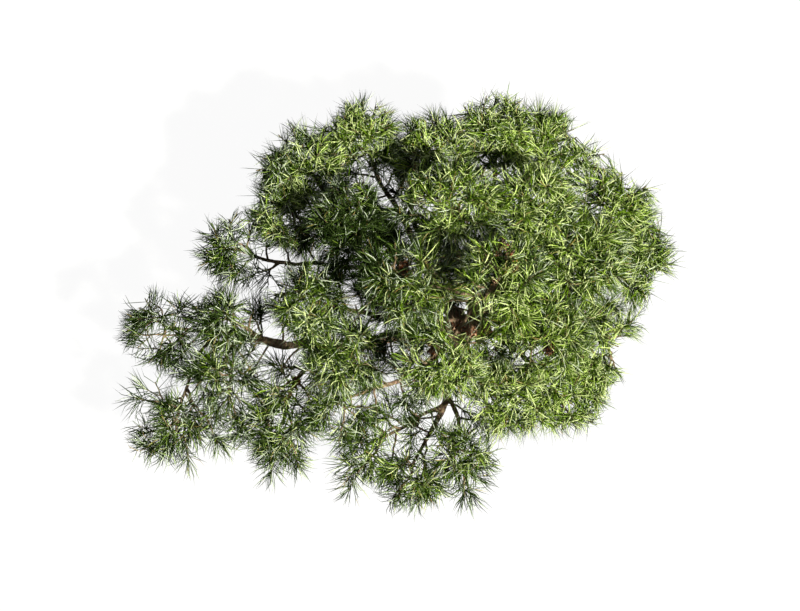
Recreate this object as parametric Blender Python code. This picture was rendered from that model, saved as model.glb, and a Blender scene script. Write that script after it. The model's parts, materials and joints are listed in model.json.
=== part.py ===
"""A small Japanese white pine, rooted in the ground.

A short leaning trunk with a flared foot carries ten main boughs and their side limbs. Each ends in
one mass of needles: twigs that fork by a rule from one stem, with a spray of needles on each tip.
Metres, +Z up. The origin is the middle of the trunk's flat cut at ground level.
"""

import math
import random
from collections import namedtuple

import bmesh
import bpy
from mathutils import Matrix, Vector

UP = Vector((0, 0, 1))

# The trunk.
TRUNK_HEIGHT = 0.585
TRUNK_BASE_RADIUS = 0.029
TRUNK_TIP_RADIUS = 0.0045
TRUNK_LEAN = 0.105  # how far the tip stands from the foot, level
TRUNK_LEAN_BEARING = 56  # degrees from +X towards +Y
TRUNK_SWAY = 0.011  # how far the trunk swings to each side of its lean
TRUNK_SWAYS = 1.6
TRUNK_POINTS = 15
TRUNK_BEVEL = 4  # twelve sides
FLARE_HEIGHT = 0.075
FLARE_SPREAD = 0.021
ROOT_LOBES = 5

# The boughs and side limbs.
LIMB_TIP_RADIUS = 0.0032
LIMB_RADIUS_PER_MASS = 0.0046  # times the square root of how many masses a limb carries
LIMB_RADIUS_PER_METRE = 0.008
MOST_OF_PARENT = 0.78  # a limb's foot against the radius of what it grows from
LIMB_WANDER = 0.022  # sideways wander, as a share of the limb's length
LEAVE_RISE, ARRIVE_RISE = 0.30, 0.35  # how steeply a limb leaves its parent and meets its mass
LEAVE_PULL, ARRIVE_PULL = 0.36, 0.30  # how far each end's way is kept, as a share of the length
ENTRY = 0.42  # a limb stops this share of the mass's spread short of its middle
STEM = 0.014  # the straight start of a mass's wood
BOUGH_POINTS, SIDE_POINTS = 8, 6
BOUGH_BEVEL, SIDE_BEVEL = 2, 1  # eight and six sides
GAP = 0.0003

# The needles.
NEEDLE = 0.050
DEPTH_OF_SPREAD = 0.78  # a mass is this much shallower than it is wide
TUFTS_PER_MASS = 5.4  # for a mass of the spread below
USUAL_SPREAD = 0.080
LOWEST_TUFT = -0.30  # how far down a mass's rounded side its tufts go, as the sine of the slope
TUFT_LIFT, TUFT_OUTWARD = 0.45, 0.25  # how far a tuft turns up, and away from the trunk
TUFT_SCATTER = 0.004
TWIG_TIP_RADIUS = 0.0016
FORK_AT = 0.52
FORK_STEP = 0.05  # how far behind its fork a twig's mesh starts, against its radius
MOST_FORKS = 4  # as many twigs as this may leave one fork
SHOOT = 0.019  # the length of the core that a spray's needles stand out of
SHOOT_RADIUS = 0.0055
SHOOT_WAIST, SHOOT_POINT = 0.45, 0.4  # where it is widest, and its tip's share of that radius
SHOOT_TURN = 0.5  # how far a shoot keeps to the way of its twig
SPLAY_FIRST, SPLAY_LAST = 74, 14  # degrees from the shoot to its lowest and highest needles
SPLAY_SCATTER = 0.12
NEEDLE_RADIUS = 0.0012
CLEAR = 0.0012  # between things that don't join

# Each mass of needles: the limb it hangs on grows from `parent`, at that share of its length. The
# middle of the mass stands on a compass bearing, a level distance from the foot and a height, and
# its spread is its half width. `bow` swings the limb to the left of its straight way, in metres.
Mass = namedtuple("Mass", "name parent at bearing reach height spread bow")
MASSES = [
    Mass("left_tip", "trunk", 0.27, 179, 0.530, 0.300, 0.080, 0.024),
    Mass("left_low", "left_tip", 0.84, 198, 0.540, 0.270, 0.080, -0.012),
    Mass("left_upper", "left_tip", 0.60, 176, 0.410, 0.345, 0.070, 0.006),
    Mass("left_mid", "left_tip", 0.74, 190, 0.437, 0.315, 0.074, -0.006),
    Mass("left_front", "left_tip", 0.44, 208, 0.370, 0.280, 0.082, -0.016),
    Mass("front_left", "trunk", 0.41, 210, 0.252, 0.320, 0.078, 0.016),
    Mass("front_low", "front", 0.56, 230, 0.264, 0.255, 0.072, 0.000),
    Mass("front", "trunk", 0.33, 251, 0.262, 0.275, 0.078, 0.010),
    Mass("front_right", "front", 0.46, 271, 0.210, 0.310, 0.076, 0.008),
    Mass("right_front_inner", "right_front", 0.42, 304, 0.134, 0.365, 0.082, 0.000),
    Mass("right_front", "trunk", 0.37, 332, 0.214, 0.350, 0.084, 0.012),
    Mass("right_low", "right", 0.58, 356, 0.246, 0.365, 0.082, 0.000),
    Mass("right", "trunk", 0.45, 21, 0.327, 0.370, 0.084, -0.014),
    Mass("right_back", "trunk", 0.34, 38, 0.336, 0.385, 0.088, 0.018),
    Mass("back_right", "back", 0.62, 62, 0.356, 0.385, 0.084, 0.000),
    Mass("back", "trunk", 0.42, 79, 0.346, 0.390, 0.086, -0.012),
    Mass("back_mid", "back_left", 0.58, 99, 0.322, 0.405, 0.080, 0.000),
    Mass("back_left", "trunk", 0.36, 117, 0.376, 0.380, 0.082, 0.014),
    Mass("left_back_top", "left_back", 0.66, 132, 0.406, 0.375, 0.078, 0.000),
    Mass("left_back", "trunk", 0.32, 144, 0.376, 0.350, 0.084, -0.016),
    Mass("left_outer", "left_back", 0.50, 160, 0.434, 0.310, 0.070, 0.014),
    Mass("inner_left", "trunk", 0.52, 168, 0.266, 0.430, 0.084, 0.014),
    Mass("inner_back", "inner_left", 0.45, 135, 0.266, 0.475, 0.090, 0.000),
    Mass("inner_front", "inner_left", 0.36, 190, 0.205, 0.425, 0.086, 0.000),
    Mass("upper_left", "trunk", 0.80, 137, 0.142, 0.550, 0.092, 0.000),
    Mass("upper_front", "trunk", 0.72, 222, 0.052, 0.515, 0.094, 0.000),
    Mass("upper_back", "trunk", 0.68, 96, 0.220, 0.540, 0.090, 0.010),
    Mass("upper_right_back", "upper_right", 0.40, 62, 0.248, 0.530, 0.090, 0.000),
    Mass("upper_right", "trunk", 0.58, 31, 0.238, 0.510, 0.092, -0.010),
    Mass("upper_right_front", "upper_right", 0.36, 2, 0.142, 0.495, 0.094, 0.000),
    Mass("top", "trunk", 1.00, 59, 0.112, 0.640, 0.092, 0.000),
]
# These masses stand so near the trunk that their stem starts on it, with no limb between.
ON_THE_TRUNK = ("upper_left", "upper_front", "top")

Limb = namedtuple("Limb", "points radii")
Twig = namedtuple("Twig", "start end start_radius end_radius")


# ---------------------------------------------------------------- the axes of trunk and limbs
def compass(bearing):
    return Vector((math.cos(math.radians(bearing)), math.sin(math.radians(bearing)), 0))


def trunk_point(share):
    """The trunk's axis at a share of its height: upright at the foot, then leaning and swaying."""
    lean = compass(TRUNK_LEAN_BEARING)
    side = compass(TRUNK_LEAN_BEARING + 90)
    swing = math.sin(2 * math.pi * TRUNK_SWAYS * share) * min(1, 3 * share) ** 2
    return lean * TRUNK_LEAN * share**1.6 + side * TRUNK_SWAY * swing + UP * TRUNK_HEIGHT * share


def trunk_limb():
    shares = [i / (TRUNK_POINTS - 1) for i in range(TRUNK_POINTS)]
    taper = TRUNK_BASE_RADIUS - TRUNK_TIP_RADIUS
    radii = [TRUNK_TIP_RADIUS + taper * (1 - share) ** 0.85 for share in shares]
    return Limb([trunk_point(share) for share in shares], radii)


def along(limb, share):
    """The point and the radius at a share of a limb's points."""
    place = share * (len(limb.points) - 1)
    i = min(int(place), len(limb.points) - 2)
    part = place - i
    radius = limb.radii[i] + (limb.radii[i + 1] - limb.radii[i]) * part
    return limb.points[i].lerp(limb.points[i + 1], part), radius


def middle_of(mass):
    return compass(mass.bearing) * mass.reach + UP * mass.height


def half_sizes(mass):
    return Vector((mass.spread, mass.spread, mass.spread * DEPTH_OF_SPREAD))


def carried_by(name):
    """How many masses hang on a limb, its own among them."""
    return 1 + sum(carried_by(mass.name) for mass in MASSES if mass.parent == name)


def limb_of(mass, parent):
    """A limb's axis, from the axis of what it grows on to where it enters its mass: a cubic curve
    that leaves level, rises towards the mass and wanders a little from side to side."""
    start, parent_radius = along(parent, mass.at)
    way = middle_of(mass) - start
    end = middle_of(mass) - way.normalized() * mass.spread * ENTRY
    way = end - start
    length = way.length
    level = Vector((way.x, way.y, 0)).normalized()
    side = UP.cross(level)
    leave = (level + UP * LEAVE_RISE).normalized()
    arrive = (way.normalized() + UP * ARRIVE_RISE).normalized()
    first = start + leave * length * LEAVE_PULL + side * mass.bow * 1.4
    second = end - arrive * length * ARRIVE_PULL + side * mass.bow * 1.2
    chance = random.Random("limb " + mass.name)
    phases = [chance.uniform(0, 2 * math.pi) for _ in range(2)]
    is_bough = mass.parent == "trunk"
    count = BOUGH_POINTS if is_bough else SIDE_POINTS
    points = []
    for i in range(count):
        share = i / (count - 1)
        rest = 1 - share
        point = start * rest**3 + first * 3 * rest**2 * share + second * 3 * rest * share**2
        point += end * share**3
        swing = math.sin(math.pi * share) * LIMB_WANDER * length
        point += side * swing * math.sin(7 * share + phases[0])
        point += UP * swing * 0.7 * math.sin(8 * share + phases[1])
        points.append(point)
    foot = LIMB_RADIUS_PER_MASS * math.sqrt(carried_by(mass.name)) + LIMB_RADIUS_PER_METRE * length
    foot = min(foot, parent_radius * MOST_OF_PARENT)
    radii = [foot + (LIMB_TIP_RADIUS - foot) * (i / (count - 1)) ** 0.9 for i in range(count)]
    return Limb(points, radii)


# ---------------------------------------------------------------- the room that a mass keeps to
def nearest_gap(start, end, other_start, other_end):
    """The least distance between two straight pieces of line."""
    one, two, between = end - start, other_end - other_start, start - other_start
    a, b, c = one.dot(one), one.dot(two), two.dot(two)
    d, e = one.dot(between), two.dot(between)
    spread = a * c - b * b
    s = min(1, max(0, (b * e - c * d) / spread)) if spread > 1e-14 else 0
    t = (b * s + e) / c
    if not 0 <= t <= 1:
        t = min(1, max(0, t))
        s = min(1, max(0, (b * t - d) / a))
    return (between + one * s - two * t).length


class Room:
    """The space of one mass: a rounded body, cut by a plane towards each neighbour, and clear of
    the wood that passes through it."""

    def __init__(self, mass, wood):
        self.middle = middle_of(mass)
        self.halves = half_sizes(mass)
        self.planes = []
        for other in MASSES:
            if other is not mass:
                way = middle_of(other) - self.middle
                mine, theirs = (self.radius_of(m, way.normalized()) for m in (mass, other))
                share = mine / (mine + theirs)
                self.planes.append((way.normalized(), way.length * share))
        reach = mass.spread + 0.06
        self.wood = [w for w in wood if self.near(w, reach)]
        self.own = []

    @staticmethod
    def radius_of(mass, way):
        halves = half_sizes(mass)
        return 1 / math.sqrt(sum((way[i] / halves[i]) ** 2 for i in range(3)))

    def near(self, piece, reach):
        return nearest_gap(piece.start, piece.end, self.middle, self.middle + UP * 1e-4) < reach

    def inside(self, point, margin):
        offset = point - self.middle
        return all(offset.dot(way) < limit - margin for way, limit in self.planes)

    def rounded(self, point):
        offset = point - self.middle
        return sum((offset[i] / self.halves[i]) ** 2 for i in range(3)) <= 1

    def takes(self, start, end, radius, besides=()):
        """Whether a piece fits: inside the planes, and clear of all wood and of the mass's own
        pieces besides those named."""
        margin = radius + CLEAR
        if not self.inside(end, margin):
            return False
        others = self.wood + [piece for piece in self.own if not any(piece is b for b in besides)]
        return all(
            nearest_gap(start, end, other.start, other.end)
            > margin + max(other.start_radius, other.end_radius)
            for other in others
        )


# ---------------------------------------------------------------- the rule that twigs grow by
def tufts_of(mass):
    """Where a mass's tufts stand and which way they face: a spiral over its top and sides."""
    middle, halves = middle_of(mass), half_sizes(mass)
    chance = random.Random("tufts " + mass.name)
    count = round(TUFTS_PER_MASS * (mass.spread / USUAL_SPREAD) ** 2)
    turn = chance.uniform(0, 2 * math.pi)
    tufts = []
    for i in range(count):
        rise = 1 - (1 - LOWEST_TUFT) * (i + 0.5) / count
        around = turn + i * math.pi * (3 - math.sqrt(5))
        level = math.sqrt(1 - rise * rise)
        way = Vector((level * math.cos(around), level * math.sin(around), rise))
        inner = Vector([max(half - NEEDLE * 0.92, 0.010) for half in halves])
        place = middle + Vector([way[k] * inner[k] for k in range(3)])
        place += Vector([chance.uniform(-TUFT_SCATTER, TUFT_SCATTER) for _ in range(3)])
        facing = way + UP * TUFT_LIFT + compass(mass.bearing) * TUFT_OUTWARD
        tufts.append((place, facing.normalized()))
    return tufts


def grow(room, start, radius_left, tufts, twigs):
    """Forks a twig until each tuft has its own, and leaves out what the room doesn't take. Adds
    the twigs between forks to twigs, and returns those that end in a tuft, each with the way
    that its shoot faces."""
    if len(tufts) == 1:
        place, facing = tufts[0]
        if not room.takes(start, place, radius_left):
            return []
        way = (place - start).normalized()
        facing -= way * min(0, way.dot(facing))
        facing = (facing + way * SHOOT_TURN).normalized()
        return [(Twig(start, place, radius_left, TWIG_TIP_RADIUS), facing)]
    mean = sum((place for place, _ in tufts), Vector()) / len(tufts)
    fork = start.lerp(mean, FORK_AT)
    radius = min(radius_left, TWIG_TIP_RADIUS * len(tufts) ** 0.4)
    if not room.takes(start, fork, radius_left):
        return []
    twigs.append(Twig(start, fork, radius_left, radius))
    groups = [[tuft] for tuft in tufts]
    if len(tufts) > MOST_FORKS:
        spans = [max(p[k] for p, _ in tufts) - min(p[k] for p, _ in tufts) for k in range(3)]
        widest = spans.index(max(spans))
        ordered = sorted(tufts, key=lambda tuft: tuft[0][widest])
        half = len(ordered) // 2
        groups = [ordered[:half], ordered[half:]]
    ends = []
    for group in groups:
        ends += grow(room, fork, min(radius, TWIG_TIP_RADIUS * len(group) ** 0.5), group, twigs)
    return ends


def core_of(twig, facing):
    return Twig(twig.end, twig.end + facing * SHOOT, SHOOT_RADIUS, SHOOT_RADIUS)


def stem_of(mass, limbs, trunk):
    """The first straight piece of a mass's wood, set off by the gap from the end of its limb or
    from the side of the trunk."""
    if mass.name in limbs:
        limb = limbs[mass.name]
        way = (limb.points[-1] - limb.points[-2]).normalized()
        foot, radius = limb.points[-1] + way * GAP, limb.radii[-1]
    elif mass.at == 1:
        way = (trunk.points[-1] - trunk.points[-2]).normalized()
        foot, radius = trunk.points[-1] + way * GAP, trunk.radii[-1]
    else:
        axis, trunk_radius = along(trunk, mass.at)
        upward = (along(trunk, mass.at + 0.02)[0] - along(trunk, mass.at - 0.02)[0]).normalized()
        way = middle_of(mass) - axis
        way = (way - upward * way.dot(upward)).normalized()
        foot, radius = axis + way * (trunk_radius + GAP), LIMB_TIP_RADIUS
    return Twig(foot, foot + way * STEM, radius, radius * 0.9)


# ---------------------------------------------------------------- solids
def material(name, colour, roughness):
    made = bpy.data.materials.new(name)
    made.use_nodes = True
    shader = made.node_tree.nodes["Principled BSDF"]
    shader.inputs["Base Color"].default_value = (*colour, 1)
    shader.inputs["Roughness"].default_value = roughness
    shader.inputs["Metallic"].default_value = 0
    return made


def mesh_object(name, mesh, collection):
    made = bpy.data.objects.new(name, mesh)
    collection.objects.link(made)
    return made


def tube(name, limb, bevel, collection, grow_by=0.0):
    """A limb as a closed mesh: a curve with a round bevel and filled caps, its caps welded."""
    data = bpy.data.curves.new(name, "CURVE")
    data.dimensions = "3D"
    data.bevel_depth = 1
    data.bevel_resolution = bevel
    data.use_fill_caps = True
    spline = data.splines.new("POLY")
    spline.points.add(len(limb.points) - 1)
    for knot, point, radius in zip(spline.points, limb.points, limb.radii):
        knot.co = (*point, 1)
        knot.radius = radius + grow_by
    guide = bpy.data.objects.new(name + "_curve", data)
    collection.objects.link(guide)
    graph = bpy.context.evaluated_depsgraph_get()
    mesh = bpy.data.meshes.new_from_object(guide.evaluated_get(graph))
    bpy.data.objects.remove(guide)
    bpy.data.curves.remove(data)
    shape = bmesh.new()
    shape.from_mesh(mesh)
    bmesh.ops.remove_doubles(shape, verts=shape.verts, dist=1e-5)
    bmesh.ops.recalc_face_normals(shape, faces=shape.faces)
    shape.to_mesh(mesh)
    shape.free()
    return mesh_object(name, mesh, collection)


def apply_boolean(target, operation, solver, other=None, group=None):
    cut = target.modifiers.new(operation.lower(), "BOOLEAN")
    cut.operation = operation
    cut.solver = solver
    if group:
        cut.operand_type = "COLLECTION"
        cut.collection = group
    else:
        cut.object = other
    bpy.context.view_layer.update()
    graph = bpy.context.evaluated_depsgraph_get()
    mesh = bpy.data.meshes.new_from_object(target.evaluated_get(graph))
    target.modifiers.clear()
    target.data = mesh


def flare(trunk):
    """Spreads the trunk's foot into root lobes, and cuts it flat at the ground."""
    for vertex in trunk.data.vertices:
        if vertex.co.z < TRUNK_BASE_RADIUS / 8:
            vertex.co.z = 0
        height = vertex.co.z
        if height > FLARE_HEIGHT:
            continue
        share = (1 - height / FLARE_HEIGHT) ** 2
        axis = trunk_point(height / TRUNK_HEIGHT)
        out = Vector((vertex.co.x - axis.x, vertex.co.y - axis.y, 0))
        if out.length < 1e-4:
            continue
        around = math.atan2(out.y, out.x)
        lobe = 0.62 + 0.38 * math.sin(ROOT_LOBES * around + 0.9)
        vertex.co += out.normalized() * FLARE_SPREAD * share * lobe


def back_from(twig):
    """Where a twig's mesh starts, a little behind its fork, so that no two share a point."""
    return twig.start - (twig.end - twig.start).normalized() * twig.start_radius * FORK_STEP


def cone(twig, start, collection):
    """One straight piece of twig: a three-sided cone that runs on a little past its end."""
    way = twig.end - start
    length = way.length + twig.end_radius
    shape = bmesh.new()
    bmesh.ops.create_cone(
        shape,
        cap_ends=True,
        segments=3,
        radius1=twig.start_radius,
        radius2=twig.end_radius,
        depth=length,
    )
    turn = way.to_track_quat("Z", "Y").to_matrix().to_4x4()
    move = Matrix.Translation(start + way.normalized() * length / 2)
    bmesh.ops.transform(shape, matrix=move @ turn, verts=shape.verts)
    mesh = bpy.data.meshes.new("twig")
    shape.to_mesh(mesh)
    shape.free()
    return mesh_object("twig", mesh, collection)


def spray(twig, facing, core, room, chance, collection):
    """A twig whose end swells into a slim core, with a needle drawn out of each face of the core.
    A needle that would leave the room, or touch anything in it, is tried shorter and then left
    out."""
    waist = twig.end + facing * SHOOT * SHOOT_WAIST
    radii = [twig.start_radius, twig.end_radius, SHOOT_RADIUS, SHOOT_RADIUS * SHOOT_POINT]
    points = [back_from(twig), twig.end, waist, core.end]
    solid = tube("spray", Limb(points, radii), 0, collection)
    shape = bmesh.new()
    shape.from_mesh(solid.data)
    made = []
    for face in list(shape.faces):
        root = face.calc_center_median()
        share = (root - twig.end).dot(facing) / SHOOT
        if share < 0.05:
            continue
        out = root - twig.end - facing * share * SHOOT
        splay = math.radians(SPLAY_FIRST + (SPLAY_LAST - SPLAY_FIRST) * share)
        way = facing * math.cos(splay) + out.normalized() * math.sin(splay)
        way += Vector([chance.uniform(-SPLAY_SCATTER, SPLAY_SCATTER) for _ in range(3)])
        length = NEEDLE * chance.uniform(0.92, 1.06)
        for part in (1, 0.8, 0.6):
            tip = root + way.normalized() * length * part
            if room.rounded(tip) and room.takes(root, tip, NEEDLE_RADIUS, (twig, core, *made)):
                point = bmesh.ops.poke(shape, faces=[face])["verts"][0]
                point.co = tip
                made.append(Twig(root, tip, NEEDLE_RADIUS, NEEDLE_RADIUS))
                break
    room.own += made
    shape.to_mesh(solid.data)
    shape.free()


def keep_outer_shell(target):
    """Leaves only the largest closed shell of a fused mass: no scraps and no sealed hollows."""
    shape = bmesh.new()
    shape.from_mesh(target.data)
    left, shells = set(shape.verts), []
    while left:
        shell, edge = set(), [left.pop()]
        while edge:
            vertex = edge.pop()
            shell.add(vertex)
            near = [e.other_vert(vertex) for e in vertex.link_edges]
            edge += [v for v in near if v in left]
            left.difference_update(near)
        shells.append(shell)
    largest = max(shells, key=len)
    spare = [v for shell in shells if shell is not largest for v in shell]
    bmesh.ops.delete(shape, geom=spare, context="VERTS")
    bmesh.ops.triangulate(shape, faces=shape.faces)
    shape.to_mesh(target.data)
    shape.free()


def foliage(mass, stem, wood, collection, scratch):
    """One mass: its stem, twigs and sprays, fused."""
    room = Room(mass, [piece for piece in wood if piece is not stem])
    twigs = []
    shoots = grow(room, stem.end, stem.end_radius, tufts_of(mass), twigs)
    chance = random.Random("sprays " + mass.name)
    target = cone(stem, stem.start, collection)
    target.name = "foliage_" + mass.name
    cores = [core_of(twig, facing) for twig, facing in shoots]
    room.own = twigs + cores + [twig for twig, _ in shoots]
    for twig in twigs:
        cone(twig, back_from(twig), scratch)
    for (twig, facing), core in zip(shoots, cores):
        spray(twig, facing, core, room, chance, scratch)
    apply_boolean(target, "UNION", "MANIFOLD", group=scratch)
    for piece in list(scratch.objects):
        bpy.data.objects.remove(piece)
    keep_outer_shell(target)
    return target


def straight_pieces(limb):
    ends = zip(limb.points, limb.points[1:], limb.radii, limb.radii[1:])
    return [Twig(*piece) for piece in ends]


def main():
    for old in list(bpy.data.objects):
        bpy.data.objects.remove(old)
    pine = bpy.data.collections.new("japanese_white_pine")
    cutters = bpy.data.collections.new("cutters")
    scratch = bpy.data.collections.new("loose_twigs")
    for group in (pine, cutters, scratch):
        bpy.context.scene.collection.children.link(group)
    bark = material("bark", (0.20, 0.145, 0.105), 0.9)
    needles = material("needles", (0.10, 0.17, 0.045), 0.6)

    trunk = trunk_limb()
    trunk_solid = tube("trunk", trunk, TRUNK_BEVEL, pine)
    flare(trunk_solid)
    limbs, solids = {}, {}
    waiting = [mass for mass in MASSES if mass.name not in ON_THE_TRUNK]
    while waiting:  # each limb is made after the one it grows from
        mass = waiting.pop(0)
        if mass.parent != "trunk" and mass.parent not in limbs:
            waiting.append(mass)
            continue
        parent = limbs.get(mass.parent, trunk)
        limb = limb_of(mass, parent)
        bevel = BOUGH_BEVEL if mass.parent == "trunk" else SIDE_BEVEL
        solid = tube("bough_" + mass.name, limb, bevel, pine)
        parent_bevel = TRUNK_BEVEL if parent is trunk else BOUGH_BEVEL
        cutter = tube("cutter", parent, parent_bevel, cutters, grow_by=GAP)
        cutter.hide_render = True
        cutter.display_type = "WIRE"
        apply_boolean(solid, "DIFFERENCE", "EXACT", other=cutter)
        bpy.data.objects.remove(cutter)
        limbs[mass.name], solids[mass.name] = limb, solid

    stems = {mass.name: stem_of(mass, limbs, trunk) for mass in MASSES}
    wood = [piece for limb in (trunk, *limbs.values()) for piece in straight_pieces(limb)]
    wood += stems.values()
    for mass in MASSES:
        made = foliage(mass, stems[mass.name], wood, pine, scratch)
        made.data.materials.clear()
        made.data.materials.append(needles)
    for solid in (trunk_solid, *solids.values()):
        solid.data.materials.clear()
        solid.data.materials.append(bark)
        solid.data.shade_smooth()


main()
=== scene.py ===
"""The looks of a small Japanese white pine, grown round its packed trunk, boughs and masses.

The trunk and boughs get a mesh with the bark's relief. Each mass of needles is grown again by the
rule that its solid follows, carried to finer twigs: shoots with their bundles of five needles.
"""

import json
import math
import random
from collections import namedtuple

import bpy
import numpy as np
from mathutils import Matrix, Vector, noise

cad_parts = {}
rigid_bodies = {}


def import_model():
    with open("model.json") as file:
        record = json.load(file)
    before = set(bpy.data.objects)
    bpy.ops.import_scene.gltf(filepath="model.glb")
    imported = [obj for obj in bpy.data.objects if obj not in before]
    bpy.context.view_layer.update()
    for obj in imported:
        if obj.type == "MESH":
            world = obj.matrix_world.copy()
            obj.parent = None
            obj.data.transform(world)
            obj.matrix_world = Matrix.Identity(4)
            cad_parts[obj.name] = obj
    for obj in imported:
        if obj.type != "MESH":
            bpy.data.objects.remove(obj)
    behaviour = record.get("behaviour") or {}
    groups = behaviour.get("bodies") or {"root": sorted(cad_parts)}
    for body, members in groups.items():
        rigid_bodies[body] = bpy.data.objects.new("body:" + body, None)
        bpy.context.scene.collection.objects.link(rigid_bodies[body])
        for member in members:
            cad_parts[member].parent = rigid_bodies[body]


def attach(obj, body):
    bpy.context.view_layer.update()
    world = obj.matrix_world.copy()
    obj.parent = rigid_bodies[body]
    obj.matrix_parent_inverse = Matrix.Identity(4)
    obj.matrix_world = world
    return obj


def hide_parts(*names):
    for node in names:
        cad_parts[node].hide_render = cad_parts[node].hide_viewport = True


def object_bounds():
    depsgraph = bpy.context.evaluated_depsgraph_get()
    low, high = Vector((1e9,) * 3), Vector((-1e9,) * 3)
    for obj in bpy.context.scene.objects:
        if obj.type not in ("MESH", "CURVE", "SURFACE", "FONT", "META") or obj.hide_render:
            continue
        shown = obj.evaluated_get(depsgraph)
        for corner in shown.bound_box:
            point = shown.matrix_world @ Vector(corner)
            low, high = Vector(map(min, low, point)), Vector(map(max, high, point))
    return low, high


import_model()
cad_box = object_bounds()
noise.seed_set(5)  # else noise_vector differs from run to run

UP = Vector((0, 0, 1))

# The trunk, in metres, as in the solids.
TRUNK_HEIGHT = 0.585
TRUNK_BASE_RADIUS = 0.029
TRUNK_TIP_RADIUS = 0.0045
TRUNK_LEAN = 0.105
TRUNK_LEAN_BEARING = 56
TRUNK_SWAY = 0.011
TRUNK_SWAYS = 1.6
TRUNK_POINTS = 15
TRUNK_TAPER = 0.85
FLARE_HEIGHT = 0.075
FLARE_SPREAD = 0.021
ROOT_LOBES, LOBE_DEPTH, LOBE_TURN = 5, 0.38, 0.9

# The boughs and side limbs, as in the solids.
LIMB_TIP_RADIUS = 0.0032
LIMB_RADIUS_PER_MASS = 0.0046
LIMB_RADIUS_PER_METRE = 0.008
MOST_OF_PARENT = 0.78
LIMB_WANDER = 0.022
LEAVE_RISE, ARRIVE_RISE = 0.30, 0.35
LEAVE_PULL, ARRIVE_PULL = 0.36, 0.30
ENTRY = 0.42
STEM = 0.014
BOUGH_POINTS, SIDE_POINTS = 8, 6

# The masses' tufts and twigs, as in the solids.
NEEDLE = 0.050
DEPTH_OF_SPREAD = 0.78
TUFTS_PER_MASS = 5.4
USUAL_SPREAD = 0.080
LOWEST_TUFT = -0.75
TUFT_INSET, LEAST_INNER = 0.72, 0.010
TUFT_LIFT, TUFT_OUTWARD, RIM_DROP = 0.85, 2.3, 1.5
TUFT_SCATTER = 0.004
TWIG_TIP_RADIUS = 0.0016
FORK_AT = 0.52
MOST_FORKS = 4
SHOOT_TURN = 0.5
CLEAR = 0.0012
GOLDEN_ANGLE = math.pi * (3 - math.sqrt(5))

Mass = namedtuple("Mass", "name parent at bearing reach height spread bow")
MASSES = [
    Mass("left_tip", "trunk", 0.27, 179, 0.530, 0.300, 0.080, 0.024),
    Mass("left_low", "left_tip", 0.84, 198, 0.540, 0.270, 0.080, -0.012),
    Mass("left_upper", "left_tip", 0.60, 176, 0.410, 0.345, 0.070, 0.006),
    Mass("left_mid", "left_tip", 0.74, 190, 0.437, 0.315, 0.074, -0.006),
    Mass("left_front", "left_tip", 0.44, 208, 0.370, 0.280, 0.082, -0.016),
    Mass("front_left", "trunk", 0.41, 210, 0.252, 0.320, 0.078, 0.016),
    Mass("front_low", "front", 0.56, 230, 0.264, 0.255, 0.072, 0.000),
    Mass("front", "trunk", 0.33, 251, 0.262, 0.275, 0.078, 0.010),
    Mass("front_right", "front", 0.46, 271, 0.210, 0.310, 0.076, 0.008),
    Mass("right_front_inner", "right_front", 0.42, 304, 0.134, 0.365, 0.082, 0.000),
    Mass("right_front", "trunk", 0.37, 332, 0.214, 0.350, 0.084, 0.012),
    Mass("right_low", "right", 0.58, 356, 0.246, 0.365, 0.082, 0.000),
    Mass("right", "trunk", 0.45, 21, 0.327, 0.370, 0.084, -0.014),
    Mass("right_back", "trunk", 0.34, 38, 0.336, 0.385, 0.088, 0.018),
    Mass("back_right", "back", 0.62, 62, 0.356, 0.385, 0.084, 0.000),
    Mass("back", "trunk", 0.42, 79, 0.346, 0.390, 0.086, -0.012),
    Mass("back_mid", "back_left", 0.58, 99, 0.322, 0.405, 0.080, 0.000),
    Mass("back_left", "trunk", 0.36, 117, 0.376, 0.380, 0.082, 0.014),
    Mass("left_back_top", "left_back", 0.66, 132, 0.406, 0.375, 0.078, 0.000),
    Mass("left_back", "trunk", 0.32, 144, 0.376, 0.350, 0.084, -0.016),
    Mass("left_outer", "left_back", 0.50, 160, 0.434, 0.310, 0.070, 0.014),
    Mass("inner_left", "trunk", 0.52, 168, 0.266, 0.430, 0.084, 0.014),
    Mass("inner_back", "inner_left", 0.45, 135, 0.266, 0.475, 0.090, 0.000),
    Mass("inner_front", "inner_left", 0.36, 190, 0.205, 0.425, 0.086, 0.000),
    Mass("upper_left", "trunk", 0.80, 137, 0.142, 0.550, 0.092, 0.000),
    Mass("upper_front", "trunk", 0.72, 222, 0.052, 0.515, 0.094, 0.000),
    Mass("upper_back", "trunk", 0.68, 96, 0.220, 0.540, 0.090, 0.010),
    Mass("upper_right_back", "upper_right", 0.40, 62, 0.248, 0.530, 0.090, 0.000),
    Mass("upper_right", "trunk", 0.58, 31, 0.238, 0.510, 0.092, -0.010),
    Mass("upper_right_front", "upper_right", 0.36, 2, 0.142, 0.495, 0.094, 0.000),
    Mass("top", "trunk", 1.00, 59, 0.112, 0.640, 0.092, 0.000),
]
ON_THE_TRUNK = ("upper_left", "upper_front", "top")

# The pieces that the needles are joined into, by the names of their masses.
REGIONS = {
    "left": ("left_tip", "left_low", "left_upper", "left_mid", "left_front", "left_outer"),
    "front": ("front_left", "front_low", "front", "front_right", "right_front_inner", "right_front"),
    "right": ("right_low", "right", "right_back", "back_right", "back"),
    "back": ("back_mid", "back_left", "left_back_top", "left_back"),
    "inner": ("inner_left", "inner_back", "inner_front", "upper_left", "upper_front"),
    "upper": ("upper_back", "upper_right_back", "top"),
    "upper_right": ("upper_right", "upper_right_front"),
}

# Masses that are open: few tufts, apart from each other, with finer needles.
OPEN = (*REGIONS["left"], "front_left", "front_low", "front", "front_right")

BOX_MARGIN = 0.026  # how far needles may reach out of the solids' box

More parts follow.
